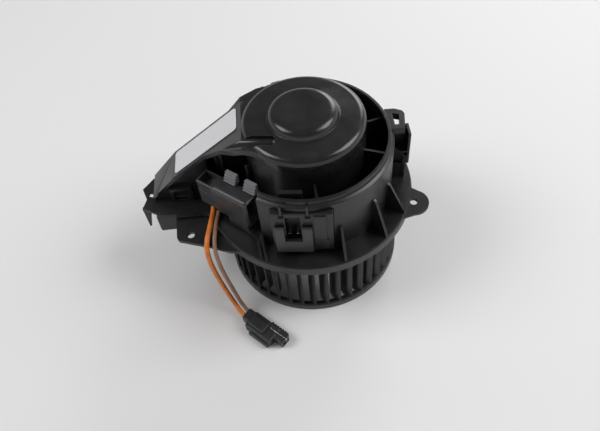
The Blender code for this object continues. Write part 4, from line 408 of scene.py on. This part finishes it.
def rounded_block(low, high, edge=0.0):
    """Block between two corners in millimetres, with rounded edges where an edge radius is given."""
    shape = bmesh.new()
    bmesh.ops.create_cube(shape, size=1.0)
    bmesh.ops.scale(shape, vec=Vector(high) - Vector(low), verts=shape.verts)
    bmesh.ops.translate(shape, vec=(Vector(high) + Vector(low)) / 2, verts=shape.verts)
    if edge:
        bmesh.ops.bevel(shape, geom=shape.edges[:], offset=edge, segments=4, profile=0.5, affect="EDGES")
    return working_piece(shape)


def moulding(name, base, joined, hollows, place, turn):
    """Join working pieces, cut the hollows from them and set the moulding in its place, now in metres."""
    for operation, shapes in (("UNION", joined), ("DIFFERENCE", hollows)):
        for shape in shapes:
            change = base.modifiers.new(operation.lower(), "BOOLEAN")
            change.operation = operation
            change.object = shape
    bpy.context.view_layer.update()
    mesh = bpy.data.meshes.new_from_object(base.evaluated_get(bpy.context.evaluated_depsgraph_get()))
    mesh.name = name
    mesh.transform(Matrix.Scale(0.001, 4) @ Matrix.Translation(place) @ Matrix.Rotation(turn, 4, "Z"))
    for shape in (base, *joined, *hollows):
        bpy.data.objects.remove(shape)
    return bpy.data.objects.new(name, mesh)


sleeve = rounded_block((box_end, shell_front, shell_bottom), (shell_right, shell_back, shell_top),
                       sleeve_round)
end_box = rounded_block((shell_left, box_front, box_bottom),
                        (box_end + 4.5, shell_back - 1.0, box_top), 0.8)
foot = rounded_block((shell_right - 24.0, -foot_depth / 2, foot_bottom),
                     (shell_right - 4.0, foot_depth / 2, box_bottom))
mouth = rounded_block((box_end + 1.5, shell_front + shell_wall, shell_bottom + shell_wall),
                      (shell_right + 5.0, shell_back - shell_wall, shell_top - shell_wall), 1.6)
well = rounded_block((shell_left + 1.6, box_front + 1.5, well_floor),
                     (box_end - 1.5, shell_back - 2.6, shell_top + overcut))
groove_heights_stops_and_depths = (
    (108.8, 111.2, box_end - 1.0, 1.2),
    (104.1, 107.7, box_end - 2.0, 1.2),
    (94.0, 95.0, box_end, 0.8),
)
grooves = [rounded_block((shell_left - overcut, shell_front - overcut, low), (stop, box_front + depth, high))
           for low, high, stop, depth in groove_heights_stops_and_depths]
connector_sleeve = moulding("connector_sleeve", sleeve, [end_box, foot], [mouth, well, *grooves],
                            shell_place, shell_turn)
stand_in(connector_sleeve, "connector_plastic", "supply_connector_shell")
# Nylon with glass is greyer than the polypropylene round it and has a dry, slightly streaky skin.
dress(moulded_plastic("glass_filled_grey_nylon", "333335", "3C3C3E", 0.38, 0.7, 0.02, 0.4, ior=1.53),
      connector_sleeve, "regulator_socket_lip")

# Ribbed lugs
# Two lock pieces of lighter grey nylon stand on the sleeve. Each leans back in four steps for the thumb,
# with a groove under every step.
lug_width = 10.5
lug_back = shell_back + 1.0
lug_crest = 3.0
lug_steps = 4
step_rise = 2.1
step_run = 1.15
step_groove = 0.9
# Unfilled nylon: a lighter grey than the shell, with a soft shine on every step.
lug_nylon = moulded_plastic("light_grey_nylon", "8C8D90", "9A9B9E", 0.4, 0.6, 0.02, 0.25, ior=1.53)
lugs = (("left_thumb_lug", "ribbed_lug_left", 1.5), ("right_thumb_lug", "ribbed_lug_right", 19.9))
for name, solid, middle in lugs:
    stair = [(lug_back, shell_top), (lug_back, shell_top + lug_steps * step_rise)]
    for step in range(lug_steps):
        top = shell_top + (lug_steps - step) * step_rise
        edge = lug_back - lug_crest - step_run * step
        stair += [(edge, top), (edge, top - step_rise / 2), (edge + step_groove, top - step_rise / 2),
                  (edge + step_groove, top - step_rise)]
    shape = bmesh.new()
    side = shape.faces.new([shape.verts.new((middle - lug_width / 2, *corner)) for corner in stair])
    grown = bmesh.ops.extrude_face_region(shape, geom=[side])["geom"]
    bmesh.ops.translate(shape, vec=(lug_width, 0.0, 0.0),
                        verts=[part for part in grown if isinstance(part, bmesh.types.BMVert)])
    bmesh.ops.recalc_face_normals(shape, faces=shape.faces)
    thumb_lug = moulding(name, working_piece(shape), [], [], shell_place, shell_turn)
    stand_in(thumb_lug, "lug_plastic", solid)
    dress(lug_nylon, thumb_lug)

# Terminals
# Flat tabs of the supply connector and contacts of the regulator, stamped from brass strip, plated with
# tin and pushed into their housings.
# Tin over rolled brass: silvery and bright, slightly mottled.
tinned = worked_metal("bright_tin_plate", "D6D6D2", "B8B8B4", 0.24, 0.6, 1.0, 0.003)
dress(tinned, "supply_terminal_1", "supply_terminal_2", "supply_terminal_3", "regulator_contact_1",
      "regulator_contact_2")

# Speed regulator
# Black nylon body let into the ring wall, with its socket in front and an aluminium heat sink in the air.
# Glass in black nylon: neutral black with a dry, even light.
dress(moulded_plastic("glass_filled_black_nylon", "141415", "1B1B1C", 0.38, 0.5, 0.015, 0.3, ior=1.53),
      "regulator_body")
# Die-cast aluminium as it left the die: pale grey, soft and slightly cloudy.
dress(worked_metal("die_cast_aluminium", "C8CACC", "A4A6A8", 0.42, 0.8, 1.0, 0.01), "regulator_heat_sink")

# Plug of the lead
# Two-way housing of black nylon that lies on the table: a collar for the wires, a raised step, a latch on
# one side, a toothed rail, two windows over the crimped ends, and a nose with one blade and one pin.
plug_place = Vector((-63.0, -78.6, 0.0)) + axis_shift
plug_turn = math.radians(-44.0)
plug_top = 10.0
plug_front = -8.5
plug_back = 7.0
nose_start = 27.0
nose_end = 39.0
past_nose = nose_end + 2.0
window_bottom = 5.2
window_top = 7.4
window_starts = (5.2, 14.4)
window_length = 2.6
tooth_gaps = 6
tooth_start = 22.0
tooth_spacing = 2.6
tooth_gap = 1.2
plug_body = rounded_block((3.0, plug_front, 0.0), (nose_start + 3.0, plug_back, plug_top), 1.0)
collar = rounded_block((-4.0, -4.4, 0.5), (8.0, 6.2, plug_top - 0.5), 1.0)
nose = rounded_block((nose_start, -2.6, 0.6), (nose_end, 6.6, plug_top - 0.8), 0.6)
raised_step = rounded_block((5.0, -6.2, plug_top - 1.0), (21.0, 3.4, plug_top + 2.6), 0.8)
latch = rounded_block((8.0, plug_front - 2.2, 0.4), (29.0, plug_front + 1.0, 4.6), 0.8)
rail = rounded_block((20.0, plug_back - 1.5, 2.0), (nose_end - 2.0, plug_back + 1.1, 8.8))
pin_mouth = rounded_block((nose_start, -1.2, 2.4), (past_nose, 3.7, 6.6))
blade_slot = rounded_block((21.6, 1.5, 7.4), (past_nose, 3.3, plug_top + 4.0))
windows = [rounded_block((start, plug_front - 0.5, window_bottom),
                         (start + window_length, plug_front + 1.4, window_top)) for start in window_starts]
gap_starts = [tooth_start + tooth_spacing * tooth for tooth in range(tooth_gaps)]
gaps = [rounded_block((start, 6.3, 6.6), (start + tooth_gap, 9.0, 9.5)) for start in gap_starts]
plug_housing = moulding("plug_housing", plug_body, [collar, nose, raised_step, latch, rail],
                        [pin_mouth, blade_slot, *windows, *gaps], plug_place, plug_turn)
stand_in(plug_housing, "plug_plastic", "plug_body")
# Unfilled black nylon: a little lighter than the holder, with a soft satin skin.
dress(moulded_plastic("plug_black_nylon", "232325", "2C2C2E", 0.4, 0.5, 0.015, 0.3, ior=1.53), plug_housing)
plug_blade = moulding("lead_blade", rounded_block((21.9, 1.9, 7.7), (39.4, 2.9, 10.6), 0.2), [], [],
                      plug_place, plug_turn)
stand_in(plug_blade, "tinned_brass", "plug_blade")
crimps = [rounded_block((start - 0.2, plug_front + 1.1, window_bottom + 0.2),
                        (start + window_length + 0.2, plug_front + 1.7, window_top - 0.2), 0.2)
          for start in window_starts]
plug_pin = moulding("lead_pin", rounded_block((26.8, 2.1, 4.1), (nose_end, 3.1, 5.1), 0.3), crimps, [],
                    plug_place, plug_turn)
stand_in(plug_pin, "tinned_brass", "plug_pin")
dress(tinned, plug_blade, plug_pin)


# Free lead of the speed regulator
# Two stranded copper wires in thin-wall PVC, one orange and one brown, leave the connector shell, bend over
# the edge of the fixing plate and hang to the plug, which lies on the table. Each is extruded and soft.
def extruded_pvc(name, clean, soiled):
    """Soft PVC sheath: satin, with faint draw marks and slightly soiled patches from handling."""
    soil_mm = 11.0
    draw_mark_mm = 0.5
    draw_mark_height_mm = 0.04
    light_depth_mm = 0.6
    finish = bpy.data.materials.new(name)
    finish.use_nodes = True
    tree = finish.node_tree
    place = add_node(tree, "ShaderNodeTexCoord").outputs["Object"]
    soil = add_node(tree, "ShaderNodeTexNoise", {"Scale": 1000 / soil_mm, "Detail": 3.0, "Roughness": 0.6},
                    {"Vector": place})
    spread = add_node(tree, "ShaderNodeMapRange", {"From Min": 0.42, "From Max": 0.72},
                      {"Value": soil.outputs[0]})
    tint = add_node(tree, "ShaderNodeMix", {"data_type": "RGBA", 6: linear(clean), 7: linear(soiled)},
                    {0: spread.outputs[0]})
    wave = add_node(tree, "ShaderNodeTexNoise", {"Scale": 1000 / draw_mark_mm, "Detail": 2.0},
                    {"Vector": place})
    relief = add_node(tree, "ShaderNodeBump", {"Strength": 0.5, "Distance": draw_mark_height_mm / 1000},
                      {"Height": wave.outputs[0]})
    satin = add_node(tree, "ShaderNodeMapRange", {"To Min": 0.36, "To Max": 0.52},
                     {"Value": soil.outputs[0]})
    sheath = tree.nodes["Principled BSDF"]
    sheath.inputs["IOR"].default_value = 1.53
    sheath.inputs["Subsurface Weight"].default_value = 0.06
    sheath.inputs["Subsurface Scale"].default_value = light_depth_mm / 1000
    tree.links.new(tint.outputs[2], sheath.inputs["Base Color"])
    tree.links.new(satin.outputs[0], sheath.inputs["Roughness"])
    tree.links.new(relief.outputs[0], sheath.inputs["Normal"])
    return finish


def laid_points(route, step):
    """Points every step millimetres along a smooth curve through the points of a route."""
    pieces = 40
    points = [Vector(point) for point in route]
    ends = [2 * points[0] - points[1]] + points + [2 * points[-1] - points[-2]]
    fine = []
    for index in range(1, len(ends) - 2):
        a, b, c, d = ends[index - 1:index + 3]
        for part in range(pieces):
            t = part / pieces
            fine.append(0.5 * (2 * b + (c - a) * t + (2 * a - 5 * b + 4 * c - d) * t * t
                               + (3 * b - a - 3 * c + d) * t * t * t))
    fine.append(points[-1])
    total = sum((second - first).length for first, second in zip(fine, fine[1:]))
    count = round(total / step)
    spaced = [fine[0]]
    travelled = 0.0
    for first, second in zip(fine, fine[1:]):
        travelled += (second - first).length
        if travelled >= len(spaced) * total / count:
            spaced.append(second)
    spaced[-1] = fine[-1]
    return spaced


lead_step = 1.5
# PVC coloured right through: warm orange with a faint depth, and a matt red brown.
lead_wires = (
    ("orange_wire", "wire_orange", "orange_insulation", 4.0, 125.2,
     extruded_pvc("orange_extruded_pvc", "EC8A38", "D6742A"),
     ((-79.4, -16.5, 83.1), (-79.7, -22.0, 83.3), (-82.3, -37.8, 83.9), (-84.3, -48.6, 83.2),
      (-85.3, -54.6, 78.0), (-85.4, -57.0, 68.0), (-84.2, -58.0, 52.0), (-81.0, -60.0, 33.0),
      (-75.6, -65.0, 15.5), (-69.6, -73.0, 7.2), (-65.6, -77.6, 5.6))),
    ("brown_wire", "wire_brown", "brown_insulation", 3.3, 117.7,
     extruded_pvc("brown_extruded_pvc", "A27C66", "8A634C"),
     ((-74.6, -20.2, 83.1), (-75.6, -25.0, 83.4), (-77.7, -38.4, 83.6), (-78.6, -51.0, 82.9),
      (-78.7, -57.2, 77.6), (-78.3, -59.0, 67.0), (-76.7, -60.6, 51.0), (-73.0, -63.8, 33.0),
      (-68.6, -68.0, 16.0), (-64.4, -72.0, 8.0), (-61.6, -74.4, 5.6))),
)
for name, solid, finish_slot, thickness, length, sheath, route in lead_wires:
    points = [(point + axis_shift) / 1000 for point in laid_points(route, lead_step)]
    line = bpy.data.curves.new(name, "CURVE")
    line.dimensions = "3D"
    line.bevel_depth = thickness / 2000
    line.bevel_resolution = 5
    line.use_fill_caps = True
    run = line.splines.new("POLY")
    run.points.add(len(points) - 1)
    for target, point in zip(run.points, points):
        target.co = (*point, 1.0)
    run.use_smooth = True
    wire = bpy.data.objects.new(name, line)
    line.materials.append(sheath)
    stand_in(wire, finish_slot, solid)
